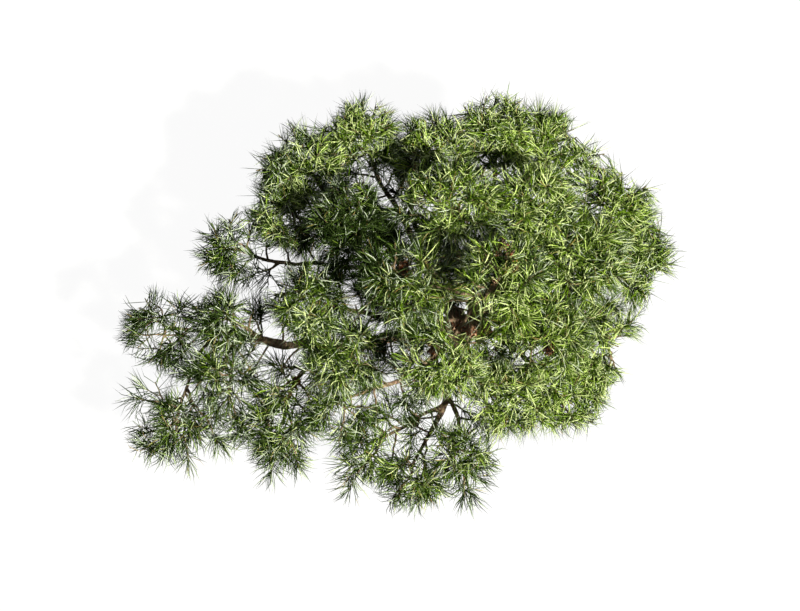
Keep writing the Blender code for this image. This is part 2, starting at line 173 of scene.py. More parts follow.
# How tufts are filled: the tufts for each one of the solid's, the numbers of shoots that a tuft
# may have, how far apart those stand, their bundles of needles, the needles' radius and their bend.
# A spur is a tuft of its own, so its first number isn't used.
Filling = namedtuple("Filling", "finer shoots apart bundles radius bend")
DENSE_FILLING = Filling(4.0, (2, 2, 3), 0.021, 11, 0.00072, 0.70)
OPEN_FILLING = Filling(1.6, (2, 2, 3), 0.012, 10, 0.00068, 0.50)
DENSE_SPURS = Filling(0, (1, 2), 0.016, 15, 0.00072, 0.65)
OPEN_SPURS = Filling(0, (1, 2), 0.012, 7, 0.00068, 0.50)

# Spurs: side twigs with a tuft that stand on a limb: the shares of its length where the first and
# the last one stand, how far apart they are, and their length.
Spurs = namedtuple("Spurs", "first last apart length")
USUAL_SPURS = Spurs(0.14, 0.92, 0.024, 0.036)
OWN_SPURS = {
    "left_tip": Spurs(0.40, 0.92, 0.022, 0.042),
    "left_low": Spurs(0.35, 0.95, 0.024, 0.034),
    "left_upper": Spurs(0.20, 0.80, 0.030, 0.034),
    "left_mid": Spurs(0.20, 0.95, 0.024, 0.042),
    "left_front": Spurs(0.30, 0.90, 0.020, 0.046),
    "left_outer": Spurs(0.30, 0.95, 0.022, 0.036),
    "left_back": Spurs(0.12, 0.95, 0.020, 0.040),
    "front_left": Spurs(0.10, 0.90, 0.020, 0.040),
    "front_low": Spurs(0.15, 0.90, 0.018, 0.034),
    "front": Spurs(0.10, 0.85, 0.024, 0.032),
    "front_right": Spurs(0.40, 0.90, 0.030, 0.030),
    "back_left": Spurs(0.15, 0.95, 0.020, 0.040),
    "back": Spurs(0.12, 0.95, 0.020, 0.040),
    "upper_back": Spurs(0.10, 0.95, 0.020, 0.040),
    "right_back": Spurs(0.12, 0.95, 0.022, 0.038),
}
TRUNK_SPURS = Spurs(0.43, 0.88, 0.010, 0.048)
TRUNK_SPUR_TURN = 137.5  # degrees from one of the trunk's spurs to the next
ROUND_THE_TRUNK = "inner_left"  # the mass that the trunk's spurs belong to
SPUR_RADIUS, SPRIG_RADIUS = 0.0022, 0.0026
SPRIG_TUFTS_APART, SPRIG_BEND, SPRIG_SIDE_TWIGS = 0.028, 0.004, (0.012, 0.022)
TWIG_BEND, TWIG_BENDS_APART, LONGEST_STRAIGHT, TWIG_STEP = 0.09, 0.022, 0.012, 0.010
STUB_APART, STUB_LENGTH, STUB_RADII = 0.045, (0.004, 0.011), (0.0017, 0.0009)

# Openings in the crown: where, how wide, and the height above which needles keep out. These look
# down on the whorl of boughs.
WHORL_OPENINGS = (
    (-0.010, 0.022, 0.021, 0.34),
    (0.012, 0.008, 0.017, 0.34),
    (-0.052, -0.033, 0.016, 0.45),
    (-0.101, 0.122, 0.018, 0.47),
    (0.074, 0.146, 0.019, 0.46),
    (0.052, 0.090, 0.017, 0.46),
    (0.146, -0.028, 0.012, 0.45),
)
# Gaps and notches that show sky: where, and how wide.
SKY_OPENINGS = (
    (-0.328, 0.083, 0.021), (-0.465, 0.090, 0.018), (-0.560, -0.026, 0.017),
    (-0.542, -0.086, 0.018), (-0.483, -0.107, 0.010), (-0.200, -0.236, 0.011),
    (-0.237, -0.208, 0.012), (-0.041, -0.207, 0.010), (-0.027, -0.230, 0.007),
    (-0.092, -0.233, 0.007), (0.028, -0.134, 0.007), (-0.020, -0.130, 0.013),
    (-0.333, -0.007, 0.011), (-0.343, -0.076, 0.008), (-0.322, 0.343, 0.012),
    (0.299, 0.268, 0.012), (-0.121, -0.285, 0.008), (-0.534, -0.221, 0.008),
    (-0.566, -0.152, 0.009), (-0.518, -0.152, 0.009), (-0.380, 0.240, 0.014),
    (-0.380, 0.308, 0.020), (-0.148, 0.404, 0.014), (-0.243, 0.385, 0.012),
    (0.299, -0.037, 0.028), (0.216, 0.358, 0.020), (-0.569, 0.064, 0.018),
    (0.364, 0.088, 0.018), (0.358, 0.055, 0.020), (-0.489, -0.228, 0.008),
    (-0.053, 0.382, 0.013), (0.051, 0.414, 0.014), (-0.452, 0.187, 0.013),
    (0.201, -0.172, 0.011), (-0.029, -0.215, 0.009), (-0.388, -0.212, 0.009),
)
OPENINGS = WHORL_OPENINGS + tuple((*opening, 0) for opening in SKY_OPENINGS)
OPENINGS_LEVEL = 0.30  # the height that their places are given at, unless they start higher
SHAFT = 1.5  # how much narrower than an opening is the shaft by which the sun falls into it

# Long side twigs that fill the room between the masses, by their limb: the share of its length
# where one leaves it, and where it ends.
SPRIGS = {
    "left_low": (
        (0.70, (-0.437, -0.178, 0.280)),
        (0.98, (-0.557, -0.118, 0.275)),
        (0.90, (-0.483, -0.208, 0.270)),
    ),
    "left_upper": ((0.30, (-0.366, -0.030, 0.300)),),
    "left_mid": ((0.85, (-0.396, -0.140, 0.295)),),
    "left_front": (
        (0.55, (-0.324, -0.094, 0.300)),
        (0.75, (-0.385, -0.168, 0.280)),
        (0.90, (-0.289, -0.215, 0.285)),
        (0.98, (-0.330, -0.232, 0.275)),
    ),
    "left_tip": ((0.95, (-0.508, -0.018, 0.290)),),
    "left_outer": (
        (0.70, (-0.357, 0.108, 0.310)),
        (0.92, (-0.389, 0.160, 0.325)),
        (0.60, (-0.352, 0.134, 0.310)),
    ),
    "left_back_top": ((0.88, (-0.322, 0.283, 0.370)),),
    "front_low": (
        (0.62, (-0.126, -0.154, 0.285)),
        (0.90, (-0.186, -0.262, 0.255)),
    ),
    "front_left": ((0.70, (-0.146, -0.092, 0.310)),),
    "front": (
        (0.85, (-0.062, -0.220, 0.290)),
        (0.95, (-0.040, -0.264, 0.275)),
    ),
    "front_right": ((0.95, (0.008, -0.268, 0.290)),),
    "right_front": ((0.95, (0.125, -0.143, 0.350)),),
    "back_right": ((0.95, (0.136, 0.362, 0.385)),),
    "back_left": ((0.10, (-0.002, 0.072, 0.250)),),
    "back": ((0.10, (-0.010, 0.060, 0.275)),),
}

# Bare old shoots, which end in the rusty husks of buds: the limb that bears one, the share of its
# length where it leaves, and where it ends.
OLD_SHOOTS = (
    ("trunk", 0.66, (0.014, 0.000, 0.490)),
    ("trunk", 0.66, (0.038, -0.004, 0.480)),
    ("trunk", 0.62, (-0.014, 0.010, 0.450)),
    ("trunk", 0.74, (0.052, 0.092, 0.500)),
    ("inner_left", 0.14, (-0.052, -0.033, 0.500)),
    ("inner_left", 0.30, (-0.101, 0.122, 0.530)),
    ("upper_back", 0.30, (0.070, 0.155, 0.525)),
    ("upper_right", 0.30, (0.080, 0.138, 0.530)),
    ("upper_right", 0.50, (0.146, -0.028, 0.510)),
)
OLD_SHOOT_RADIUS, OLD_SHOOT_BEND, OLD_SHOOT_HUSKS = 0.0034, (0.004, -0.003, 0), (0.98, 0.86)

# Rusty husks of old buds, by the limb and the share of its length.
HUSKS = (
    ("right_front", 0.07),
    ("right_front", 0.17),
    ("front_left", 0.26),
    ("left_back", 0.40),
    ("back_left", 0.36),
    ("back", 0.42),
    ("left_front", 0.55),
    ("front_low", 0.45),
)
HUSK_HALF_LENGTH = 0.009
SCALES, SCALE_LENGTH, SCALE_RISE, SCALE_KEEL = 80, (0.006, 0.012), 0.0005, 0.0008
SCALE_COLOURS = (
    ("rusty_husk", (0.420, 0.130, 0.040)),
    ("brown_husk", (0.270, 0.160, 0.090)),
    ("tan_husk", (0.430, 0.310, 0.200)),
)

# Shoots and needles.
DEPTHS = (0.55, 1.15)  # where a tuft lies, from the middle of its mass to its usual place
FACING_SCATTER = 0.38
VIGOUR, SIDE_VIGOUR = (0.9, 1.06), (0.84, 1)  # how long needles are on a tuft's shoots
SIDE_SHOOT_FORKS, SIDE_SHOOT_BEND = (0.65, 0.9), 0.002
BRUSH = 0.020  # the length of shoot that bears needles
SHOOT_RADIUS, SHOOT_TIP_RADIUS = 0.0012, 0.0011
BUD_LENGTH, BUD_SHARES, BUD_RADII = (0.003, 0.005), (0, 0.35, 1), (0.0010, 0.0015, 0.0003)
NEEDLE_LENGTHS = (0.84, 1.06)
NEEDLES_PER_BUNDLE = 5
STRAY, ROOTS_APART = 0.36, 0.006  # how far a bundle's needles part
OPEN_STEEPNESS, RIM_LEVELLING = 0.5, 0.45  # how flat needles lie in open masses and at the rim
SPLAY_FIRST, SPLAY_LAST, SPLAY_SCATTER = 78, 10, 6  # their angles to the shoot, foot to tip
TIPS_AHEAD, TIPS_UP = 0.26, 0.16  # how far a needle's outer half turns along the shoot and up
ROLL = 1.3  # how freely the needles turn their pale inner side
BARE_BELOW = 0.3  # a shoot that keeps less than this share of its needles is left out
SHORTER = (1, 0.86, 0.74)  # what a needle is cut to, in turn, until it stays in the crown
# A needle's rings: each one's share of the length, and of the radius. Those deep in a mass have
# the fewest.
HIDDEN_RINGS = ((0.0, 1.1),)
OPEN_RINGS = ((0.0, 0.85), (0.55, 1.0))
SEEN_RINGS = ((0.0, 0.85), (0.38, 1.0), (0.74, 0.9))
HIDDEN_BELOW = 0.010  # how far above the middle of a dense mass the last hidden shoots stand
LUMPS = 0.22  # how uneven the masses' outlines are
HELD_IN, RAGGED, MOST_RAGGED = 0.18, 0.18, 0.50  # how far single needles fall short or stick out
BETWEEN = 1.9  # how near a crevice lies to the masses round it

# The wood's tubes, before they are made one skin.
TRUNK_RINGS, TRUNK_SIDES, TRUNK_CAP = 190, 40, 0.002
LIMB_STEP, LIMB_SIDES = 0.005, 14
COLLAR, COLLAR_SHORTNESS = 0.16, 14  # how a limb thickens at its foot
MOST_BEND, BENDS_PER_METRE = 0.007, 26
SWELL, SWELLS_PER_METRE = 0.22, 60
VOXEL = 0.0026

# The bark's relief: plates, shorter and narrower on thin limbs, with cracks between them.
PLATE_WIDTH, PLATE_LENGTH = 0.0085, 0.021
PLATE_PER_RADIUS, LEAST_PLATE = 0.33, 0.0030
MOST_RELIEF, RELIEF_PER_RADIUS = 0.0017, 0.085
PLATE_WAVE, CRACK_WIDTH = 0.45, 0.30  # in widths of a plate
PLATES_SUNK, FINE_SHARE = 0.75, 0.35
LUMPS_PER_METRE, LUMP_SIZE = 38, 0.05
PATTERNS_APART = 3.7  # so that no two limbs share a pattern
LEVEL_BELOW = 0.0015  # the cut foot stays level up to this height
CRACK_PALENESS = 0.6
BATCH = 8000  # points worked on at a time
BARK_COLOURS = (
    (0.30, (0.215, 0.148, 0.090)),
    (0.50, (0.355, 0.255, 0.165)),
    (0.72, (0.500, 0.375, 0.250)),
)
CRACK_COLOUR = (0.115, 0.064, 0.036)

# The view, straight down on the crown.
CAMERA_AT = (-0.1047, 0.0505, 4.2)
FRAME_WIDTH, CROWN_HEIGHT = 1.36, 0.45  # the width that the picture takes in at the crown's height
SENSOR = 36.0

# Each light: its name, strength, width in degrees, colour, and the way towards it.
LIGHTS = (
    ("key", 8.2, 3, (1.0, 0.97, 0.86), (0.54, -0.26, 1.0)),
    ("sky", 0.38, 130, (0.95, 0.98, 1.0), (-0.1, 0.1, 1.0)),
)
WORLD_STRENGTH, WHITE = 0.08, (1, 1, 1, 1)
SUNWARD = np.array(LIGHTS[0][-1][:2]) / LIGHTS[0][-1][2]

# The floor and the backdrop.
FLOOR_SIZE = 60
FLOOR_COLOUR, FLOOR_GLOW, BACKDROP_GLOW = (0.05, 0.05, 0.05), 0.95, 1.0

Limb = namedtuple("Limb", "points radii")
Twig = namedtuple("Twig", "start end start_radius end_radius")
Shoot = namedtuple("Shoot", "path base facing mass filling vigour")


# ---------------- axes of trunk and limbs
def compass(bearing):
    return Vector((math.cos(math.radians(bearing)), math.sin(math.radians(bearing)), 0))


def trunk_point(share):
    lean = compass(TRUNK_LEAN_BEARING)
    side = compass(TRUNK_LEAN_BEARING + 90)
    swing = math.sin(2 * math.pi * TRUNK_SWAYS * share) * min(1, 3 * share) ** 2
    return lean * TRUNK_LEAN * share**1.6 + side * TRUNK_SWAY * swing + UP * TRUNK_HEIGHT * share


def trunk_radius(share):
    return TRUNK_TIP_RADIUS + (TRUNK_BASE_RADIUS - TRUNK_TIP_RADIUS) * (1 - share) ** TRUNK_TAPER


def trunk_limb():
    shares = [i / (TRUNK_POINTS - 1) for i in range(TRUNK_POINTS)]
    return Limb([trunk_point(share) for share in shares], [trunk_radius(share) for share in shares])


def along(limb, share):
    place = share * (len(limb.points) - 1)
    i = min(int(place), len(limb.points) - 2)
    part = place - i
    radius = limb.radii[i] + (limb.radii[i + 1] - limb.radii[i]) * part
    return limb.points[i].lerp(limb.points[i + 1], part), radius


def middle_of(mass):
    return compass(mass.bearing) * mass.reach + UP * mass.height


def half_sizes(mass):
    return Vector((mass.spread, mass.spread, mass.spread * DEPTH_OF_SPREAD))


def carried_by(name):
    return 1 + sum(carried_by(mass.name) for mass in MASSES if mass.parent == name)


def limb_of(mass, parent):
    start, parent_radius = along(parent, mass.at)
    way = middle_of(mass) - start
    end = middle_of(mass) - way.normalized() * mass.spread * ENTRY
    way = end - start
    length = way.length
    level = Vector((way.x, way.y, 0)).normalized()
    side = UP.cross(level)
    leave = (level + UP * LEAVE_RISE).normalized()
    arrive = (way.normalized() + UP * ARRIVE_RISE).normalized()
    first = start + leave * length * LEAVE_PULL + side * mass.bow * 1.4
    second = end - arrive * length * ARRIVE_PULL + side * mass.bow * 1.2
    chance = random.Random("limb " + mass.name)
    phases = [chance.uniform(0, 2 * math.pi) for _ in range(2)]
    is_bough = mass.parent == "trunk"
    count = BOUGH_POINTS if is_bough else SIDE_POINTS
    points = []
    for i in range(count):
        share = i / (count - 1)
        rest = 1 - share
        point = start * rest**3 + first * 3 * rest**2 * share + second * 3 * rest * share**2
        point += end * share**3
        swing = math.sin(math.pi * share) * LIMB_WANDER * length
        point += side * swing * math.sin(7 * share + phases[0])
        point += UP * swing * 0.7 * math.sin(8 * share + phases[1])
        points.append(point)
    foot = LIMB_RADIUS_PER_MASS * math.sqrt(carried_by(mass.name)) + LIMB_RADIUS_PER_METRE * length
    foot = min(foot, parent_radius * MOST_OF_PARENT)
    radii = [foot + (LIMB_TIP_RADIUS - foot) * (i / (count - 1)) ** 0.9 for i in range(count)]
    return Limb(points, radii)


def all_limbs():
    trunk = trunk_limb()
    limbs = {}
    waiting = [mass for mass in MASSES if mass.name not in ON_THE_TRUNK]
    while waiting:
        mass = waiting.pop(0)
        if mass.parent != "trunk" and mass.parent not in limbs:
            waiting.append(mass)
            continue
        limbs[mass.name] = limb_of(mass, limbs.get(mass.parent, trunk))
    return trunk, limbs


# ---------------- the room that a mass keeps to
def nearest_gap(start, end, other_start, other_end):
    one, two, between = end - start, other_end - other_start, start - other_start
    a, b, c = one.dot(one), one.dot(two), two.dot(two)
    d, e = one.dot(between), two.dot(between)
    spread = a * c - b * b
    s = min(1, max(0, (b * e - c * d) / spread)) if spread > 1e-14 else 0
    t = (b * s + e) / c
    if not 0 <= t <= 1:
        t = min(1, max(0, t))
        s = min(1, max(0, (b * t - d) / a))
    return (between + one * s - two * t).length


class Room:
    """The space of one mass: the side of a plane towards each neighbour, placed by the masses'
    rounded sizes, and clear of the wood that passes through it."""

    def __init__(self, mass, wood):
        self.middle = middle_of(mass)
        self.halves = half_sizes(mass)
        self.planes = []
        for other in MASSES:
            if other is not mass:
                way = middle_of(other) - self.middle
                mine, theirs = (self.radius_of(m, way.normalized()) for m in (mass, other))
                share = mine / (mine + theirs)
                self.planes.append((way.normalized(), way.length * share))
        reach = mass.spread + 0.06
        self.wood = [w for w in wood if self.near(w, reach)]

    @staticmethod
    def radius_of(mass, way):
        halves = half_sizes(mass)
        return 1 / math.sqrt(sum((way[i] / halves[i]) ** 2 for i in range(3)))

    def near(self, piece, reach):
        return nearest_gap(piece.start, piece.end, self.middle, self.middle + UP * 1e-4) < reach

    def takes(self, start, end, radius):
        margin = radius + CLEAR
        offset = end - self.middle
        if not all(offset.dot(way) < limit - margin for way, limit in self.planes):
            return False
        return all(
            nearest_gap(start, end, other.start, other.end)
            > margin + max(other.start_radius, other.end_radius)
            for other in self.wood
        )


def as_seen(points, lowest):
    """Where points appear to the camera, on the level that an opening is given for. Openings
    thus run along the lines of sight, and stay open in the photo's view."""
    camera = np.array(CAMERA_AT)
    share = (camera[2] - max(lowest, OPENINGS_LEVEL)) / (camera[2] - points[:, 2])
    return camera[:2] + (points[:, :2] - camera[:2]) * share[:, None]


class Crown:
    """The reach of all the masses together, its openings and the limbs that pass through it."""

    def __init__(self, wood):
        self.middles = np.array([middle_of(mass) for mass in MASSES])
        self.halves = np.array([half_sizes(mass) for mass in MASSES])
        self.starts = np.array([piece.start for piece in wood])
        self.runs = np.array([piece.end - piece.start for piece in wood])
        self.squares = (self.runs**2).sum(axis=1)
        self.gaps = CLEAR + np.array([max(piece.start_radius, piece.end_radius) for piece in wood])
        self.lowest = np.array(cad_box[0]) - BOX_MARGIN
        self.highest = np.array(cad_box[1]) + BOX_MARGIN

    def holds(self, points, raggedness):
        """Which points lie in the masses, or in the crevices between three of them. Each has its
        own raggedness, so that the rim isn't shorn."""
        offset = (points[:, None] - self.middles) / self.halves
        x, y, z = points.T
        # Waves a few centimetres long, which make the masses uneven.
        lumps = np.sin(71 * x + 9 * z) * np.sin(63 * y - 17 * x) + 0.6 * np.sin(127 * y + 88 * x)
        limit = 1 + LUMPS * lumps + raggedness
        away = (offset**2).sum(axis=2)
        between = (away <= BETWEEN).sum(axis=1) >= 3
        boxed = (points > self.lowest) & (points < self.highest)
        return ((away <= limit[:, None]).any(axis=1) | between) & boxed.all(axis=1)

    def clear(self, points, raggedness):
        """Which points lie outside all the limbs and openings."""
        offset = points[:, None] - self.starts
        share = np.clip((offset * self.runs).sum(axis=2) / self.squares, 0, 1)
        gap = np.linalg.norm(offset - share[..., None] * self.runs, axis=2)
        free = (gap > self.gaps).all(axis=1)
        for x, y, radius, lowest in OPENINGS:
            above = points[:, 2] - lowest
            away = np.linalg.norm(as_seen(points, lowest) - (x, y), axis=1)
            if lowest:
                sunlit = points[:, :2] - (x, y) - above[:, None] * SUNWARD
                away = np.minimum(away, np.linalg.norm(sunlit, axis=1) * SHAFT)
            free &= (away > radius * (1 - raggedness)) | (above < 0)
        return free


# ---------------- the rule that twigs grow by
def filling_of(mass):
    return OPEN_FILLING if mass.name in OPEN else DENSE_FILLING


def in_opening(place):
    points = np.array([place])
    return any(
        place.z > lowest and math.dist(as_seen(points, lowest)[0], (x, y)) < radius
        for x, y, radius, lowest in OPENINGS
    )


def tufts_of(mass):
    middle, halves = middle_of(mass), half_sizes(mass)
    chance = random.Random("tufts " + mass.name)
    finer = filling_of(mass).finer
    count = round(finer * TUFTS_PER_MASS * (mass.spread / USUAL_SPREAD) ** 2)
    turn = chance.uniform(0, 2 * math.pi)
    tufts = []
    for i in range(count):
        rise = 1 - (1 - LOWEST_TUFT) * ((i + 0.5) / count)
        around = turn + i * GOLDEN_ANGLE
        level = math.sqrt(1 - rise * rise)
        way = Vector((level * math.cos(around), level * math.sin(around), rise))
        inner = Vector([max(half - NEEDLE * TUFT_INSET, LEAST_INNER) for half in halves])
        depth = chance.uniform(*DEPTHS)
        place = middle + Vector([way[k] * inner[k] for k in range(3)]) * depth
        place += Vector([chance.uniform(-TUFT_SCATTER, TUFT_SCATTER) for _ in range(3)])
        outward = compass(mass.bearing) * mass.reach
        lift = TUFT_LIFT - RIM_DROP * max(0, way.dot(outward))
        facing = way * 0.6 + UP * lift + outward * TUFT_OUTWARD
        facing += Vector([chance.gauss(0, FACING_SCATTER) for _ in range(3)])
        tufts.append((place, facing.normalized()))
    return tufts


def grow(room, start, radius_left, tufts, twigs):
    """Forks a twig until each tuft has its own, and leaves out what the room doesn't take. Adds
    the twigs between forks to twigs, and returns those that end in a tuft, each with the way
    that its shoot faces."""
    if len(tufts) == 1:
        place, facing = tufts[0]
        if not room.takes(start, place, radius_left):
            return []
        way = (place - start).normalized()
        facing -= way * min(0, way.dot(facing))
        facing = (facing + way * SHOOT_TURN).normalized()
        return [(Twig(start, place, radius_left, TWIG_TIP_RADIUS), facing)]
    mean = sum((place for place, _ in tufts), Vector()) / len(tufts)
    fork = start.lerp(mean, FORK_AT)
    radius = min(radius_left, TWIG_TIP_RADIUS * len(tufts) ** 0.4)
    if not room.takes(start, fork, radius_left):
        return []
    twigs.append(Twig(start, fork, radius_left, radius))
    groups = [[tuft] for tuft in tufts]
    if len(tufts) > MOST_FORKS:
        spans = [max(p[k] for p, _ in tufts) - min(p[k] for p, _ in tufts) for k in range(3)]
        widest = spans.index(max(spans))
        ordered = sorted(tufts, key=lambda tuft: tuft[0][widest])
        half = len(ordered) // 2
        groups = [ordered[:half], ordered[half:]]
    ends = []
    for group in groups:
        ends += grow(room, fork, min(radius, TWIG_TIP_RADIUS * len(group) ** 0.5), group, twigs)
    return ends


def stem_of(mass, limbs, trunk):
    if mass.name in limbs:
        limb = limbs[mass.name]
        way = (limb.points[-1] - limb.points[-2]).normalized()
        foot, radius = limb.points[-1], limb.radii[-1]
    elif mass.at == 1:
        way = (trunk.points[-1] - trunk.points[-2]).normalized()
        foot, radius = trunk.points[-1], trunk.radii[-1]
    else:
        axis, trunk_radius = along(trunk, mass.at)
        upward = (along(trunk, mass.at + 0.02)[0] - along(trunk, mass.at - 0.02)[0]).normalized()
        way = middle_of(mass) - axis
        way = (way - upward * way.dot(upward)).normalized()
        foot, radius = axis + way * trunk_radius, LIMB_TIP_RADIUS
    return Twig(foot, foot + way * STEM, radius, radius * 0.9)


def shoots_of_tuft(twig, facing, mass, filling, chance):
    """The shoots of a tuft: one ahead, and others from the twig's side."""
    count = chance.choice(filling.shoots)
    shoots = [Shoot([twig.end], twig.end, facing, mass, filling, chance.uniform(*VIGOUR))]
    across = facing.orthogonal().normalized()
    other = facing.cross(across)
    turn = chance.uniform(0, 2 * math.pi)
    for i in range(1, count):
        around = turn + 2 * math.pi * i / (count - 1) + chance.uniform(-0.5, 0.5)
        out = across * math.cos(around) + other * math.sin(around)
        fork = twig.start.lerp(twig.end, chance.uniform(*SIDE_SHOOT_FORKS))
        way = (facing * 0.45 + out * 0.9 + UP * 0.1).normalized()
        base = fork + way * filling.apart * chance.uniform(0.75, 1.15)
        side_facing = (facing * 0.6 + out * 0.6 + UP * 0.3).normalized()
        path = [fork, fork.lerp(base, 0.5) - facing * SIDE_SHOOT_BEND, base]
        shoots.append(Shoot(path, base, side_facing, mass, filling, chance.uniform(*SIDE_VIGOUR)))
    return shoots


def length_of(limb):
    return sum((b - a).length for a, b in zip(limb.points, limb.points[1:]))


def beside(limb, share):
    """A limb's place and radius there, the way it runs, and the level way to its left."""
    place, radius = along(limb, share)
    way = along(limb, min(1, share + 0.05))[0] - along(limb, max(0, share - 0.05))[0]
    return place, radius, way.normalized(), UP.cross(way).normalized()


def spur_count(rule, limb):
    return round((rule.last - rule.first) * length_of(limb) / rule.apart)


def spurs_of(mass, limb):
    """Side twigs that stand on a limb by turns to its left and right, each with the way that its
    tuft faces."""
    chance = random.Random("spurs " + mass.name)
    rule = OWN_SPURS.get(mass.name, USUAL_SPURS)
    count = spur_count(rule, limb)
    hand = chance.choice((-1, 1))
    spurs = []
    for i in range(count):
        share = rule.first + (rule.last - rule.first) * (i + chance.uniform(0.2, 0.8)) / count
        start, radius, way, left = beside(limb, share)
        hand = -hand
        lean = left * hand + way * chance.uniform(0.1, 0.9) + UP * chance.uniform(0.05, 0.7)
        end = start + lean.normalized() * (radius + rule.length * chance.uniform(0.65, 1.3))
        facing = lean.normalized() + UP * chance.uniform(0, 0.5)
        spurs.append((Twig(start, end, SPUR_RADIUS, TWIG_TIP_RADIUS), facing.normalized()))
    return spurs


def spurs_of_trunk(trunk):
    """Short shoots on the trunk itself, all round, inside the crown."""
    chance = random.Random("spurs trunk")
    rule = TRUNK_SPURS
    count = spur_count(rule, trunk)
    spurs = []
    for i in range(count):
        start, radius = along(trunk, rule.first + (rule.last - rule.first) * (i + 0.5) / count)
        out = compass(i * TRUNK_SPUR_TURN + chance.uniform(-20, 20))
        lean = (out + UP * chance.uniform(0.1, 0.6)).normalized()
        end = start + lean * (radius + rule.length * chance.uniform(0.6, 1.3))
        spurs.append((Twig(start, end, SPUR_RADIUS, TWIG_TIP_RADIUS), lean))
    return spurs


def sprigs_of(name, limb):
    """Long side twigs: the pieces between their tufts, and the twigs that end in a tuft."""
    chance = random.Random("sprigs " + name)
    pieces, spurs = [], []
    for share, place in SPRIGS.get(name, ()):
        start, end = along(limb, share)[0], Vector(place)
        way = end - start
        side = UP.cross(way).normalized()
        count = max(1, round(way.length / SPRIG_TUFTS_APART))
        hand, before, size = chance.choice((-1, 1)), start, SPRIG_RADIUS
        for i in range(1, count + 1):
            bend = side * hand * SPRIG_BEND if i < count else Vector()
            point = start.lerp(end, i / count) + bend
            after = SPRIG_RADIUS + (TWIG_TIP_RADIUS - SPRIG_RADIUS) * i / count
            if i == count:
                facing = (way.normalized() + UP * 0.35).normalized()
                spurs.append((Twig(before, point, size, after), facing))
                continue
            pieces.append(Twig(before, point, size, after))
            lean = (side * hand + way.normalized() * 0.7 + UP * 0.4).normalized()
            tip = point + lean * chance.uniform(*SPRIG_SIDE_TWIGS)
            spurs.append((Twig(point, tip, TWIG_TIP_RADIUS, TWIG_TIP_RADIUS), lean))
            hand, before, size = -hand, point, after
    return pieces, spurs


def stubs_of(name, limb):
    """What is left of twigs that broke off a limb."""
    chance = random.Random("stubs " + name)
    stubs = []
    for _ in range(round(length_of(limb) / STUB_APART)):
        start, radius, way, left = beside(limb, chance.uniform(0.1, 0.95))
        around = chance.uniform(0, 2 * math.pi)
        out = left * math.cos(around) + way.cross(left) * math.sin(around)
        end = start + (out + way * 0.5).normalized() * (radius + chance.uniform(*STUB_LENGTH))
        stubs.append([start, end])
    return stubs


# ---------------- meshes from arrays
class Faces:
    """Vertices and faces gathered for one piece, in batches, with the faces' material slots."""

    def __init__(self):
        self.batches = []
        self.count = 0

    def add(self, points, quads, triangles, quad_slots=0, triangle_slots=0):
        quad_slots = np.broadcast_to(quad_slots, len(quads))
        triangle_slots = np.broadcast_to(triangle_slots, len(triangles))
        quads, triangles = quads + self.count, triangles + self.count
        self.batches.append((points, quads, triangles, quad_slots, triangle_slots))
        self.count += len(points)

    def mesh(self, name):
        points, quads, triangles, *slots = map(np.concatenate, zip(*self.batches))
        made = bpy.data.meshes.new(name)
        made.vertices.add(len(points))
        made.vertices.foreach_set("co", points.astype(np.float32).ravel())
        loops = np.concatenate([quads.ravel(), triangles.ravel()]).astype(np.int32)
        made.loops.add(len(loops))
        made.loops.foreach_set("vertex_index", loops)
        starts = np.concatenate(
            [np.arange(len(quads)) * 4, len(quads) * 4 + np.arange(len(triangles)) * 3]
        )
        made.polygons.add(len(starts))
        made.polygons.foreach_set("loop_start", starts.astype(np.int32))
        made.polygons.foreach_set("material_index", np.concatenate(slots).astype(np.int32))
        made.update(calc_edges=True)
        made.validate()
        return made


def show(name, mesh, materials, smooth=False):
    """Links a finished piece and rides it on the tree's one body."""
    piece = bpy.data.objects.new(name, mesh)
    bpy.context.scene.collection.objects.link(piece)
    for material in materials:
        mesh.materials.append(material)
    if smooth:
        mesh.shade_smooth()
    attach(piece, "root")
    return piece


def unit(vectors):
    return vectors / np.linalg.norm(vectors, axis=-1, keepdims=True)


def smooth_path(points, radii, step):
    """Points and radii along a smooth curve through the given ones, about a step apart."""
    knots = np.array(points)
    widths = np.array(radii)
    lengths = np.linalg.norm(np.diff(knots, axis=0), axis=1)
    before = np.vstack([2 * knots[0] - knots[1], knots[:-1]])
    after = np.vstack([knots[1:], 2 * knots[-1] - knots[-2]])
    ways = (after - before) / 2
    places, sizes = [], []
    for i, length in enumerate(lengths):
        share = np.linspace(0, 1, max(2, round(length / step) + 1))[:, None]
        if i < len(lengths) - 1:
            share = share[:-1]
        s2, s3 = share**2, share**3
        places.append(
            knots[i] * (2 * s3 - 3 * s2 + 1)
            + ways[i] * (s3 - 2 * s2 + share)
            + knots[i + 1] * (3 * s2 - 2 * s3)
            + ways[i + 1] * (s3 - s2)
        )
        sizes.append(widths[i] + (widths[i + 1] - widths[i]) * share[:, 0])
    return np.vstack(places), np.concatenate(sizes)


def spokes_along(places, sides):
    """The way along a path at each place, and the spokes of a ring round it."""
    ways = unit(np.gradient(places, axis=0))
    across = np.zeros_like(places)
    first = np.cross(ways[0], (0.31, 0.17, 0.93))
    across[0] = first / np.linalg.norm(first)
    for i in range(1, len(places)):
        turned = across[i - 1] - ways[i] * (across[i - 1] @ ways[i])
        across[i] = turned / np.linalg.norm(turned)
    other = np.cross(ways, across)
    around = (np.arange(sides) * 2 * math.pi / sides)[:, None]
    return ways, across[:, None] * np.cos(around) + other[:, None] * np.sin(around)


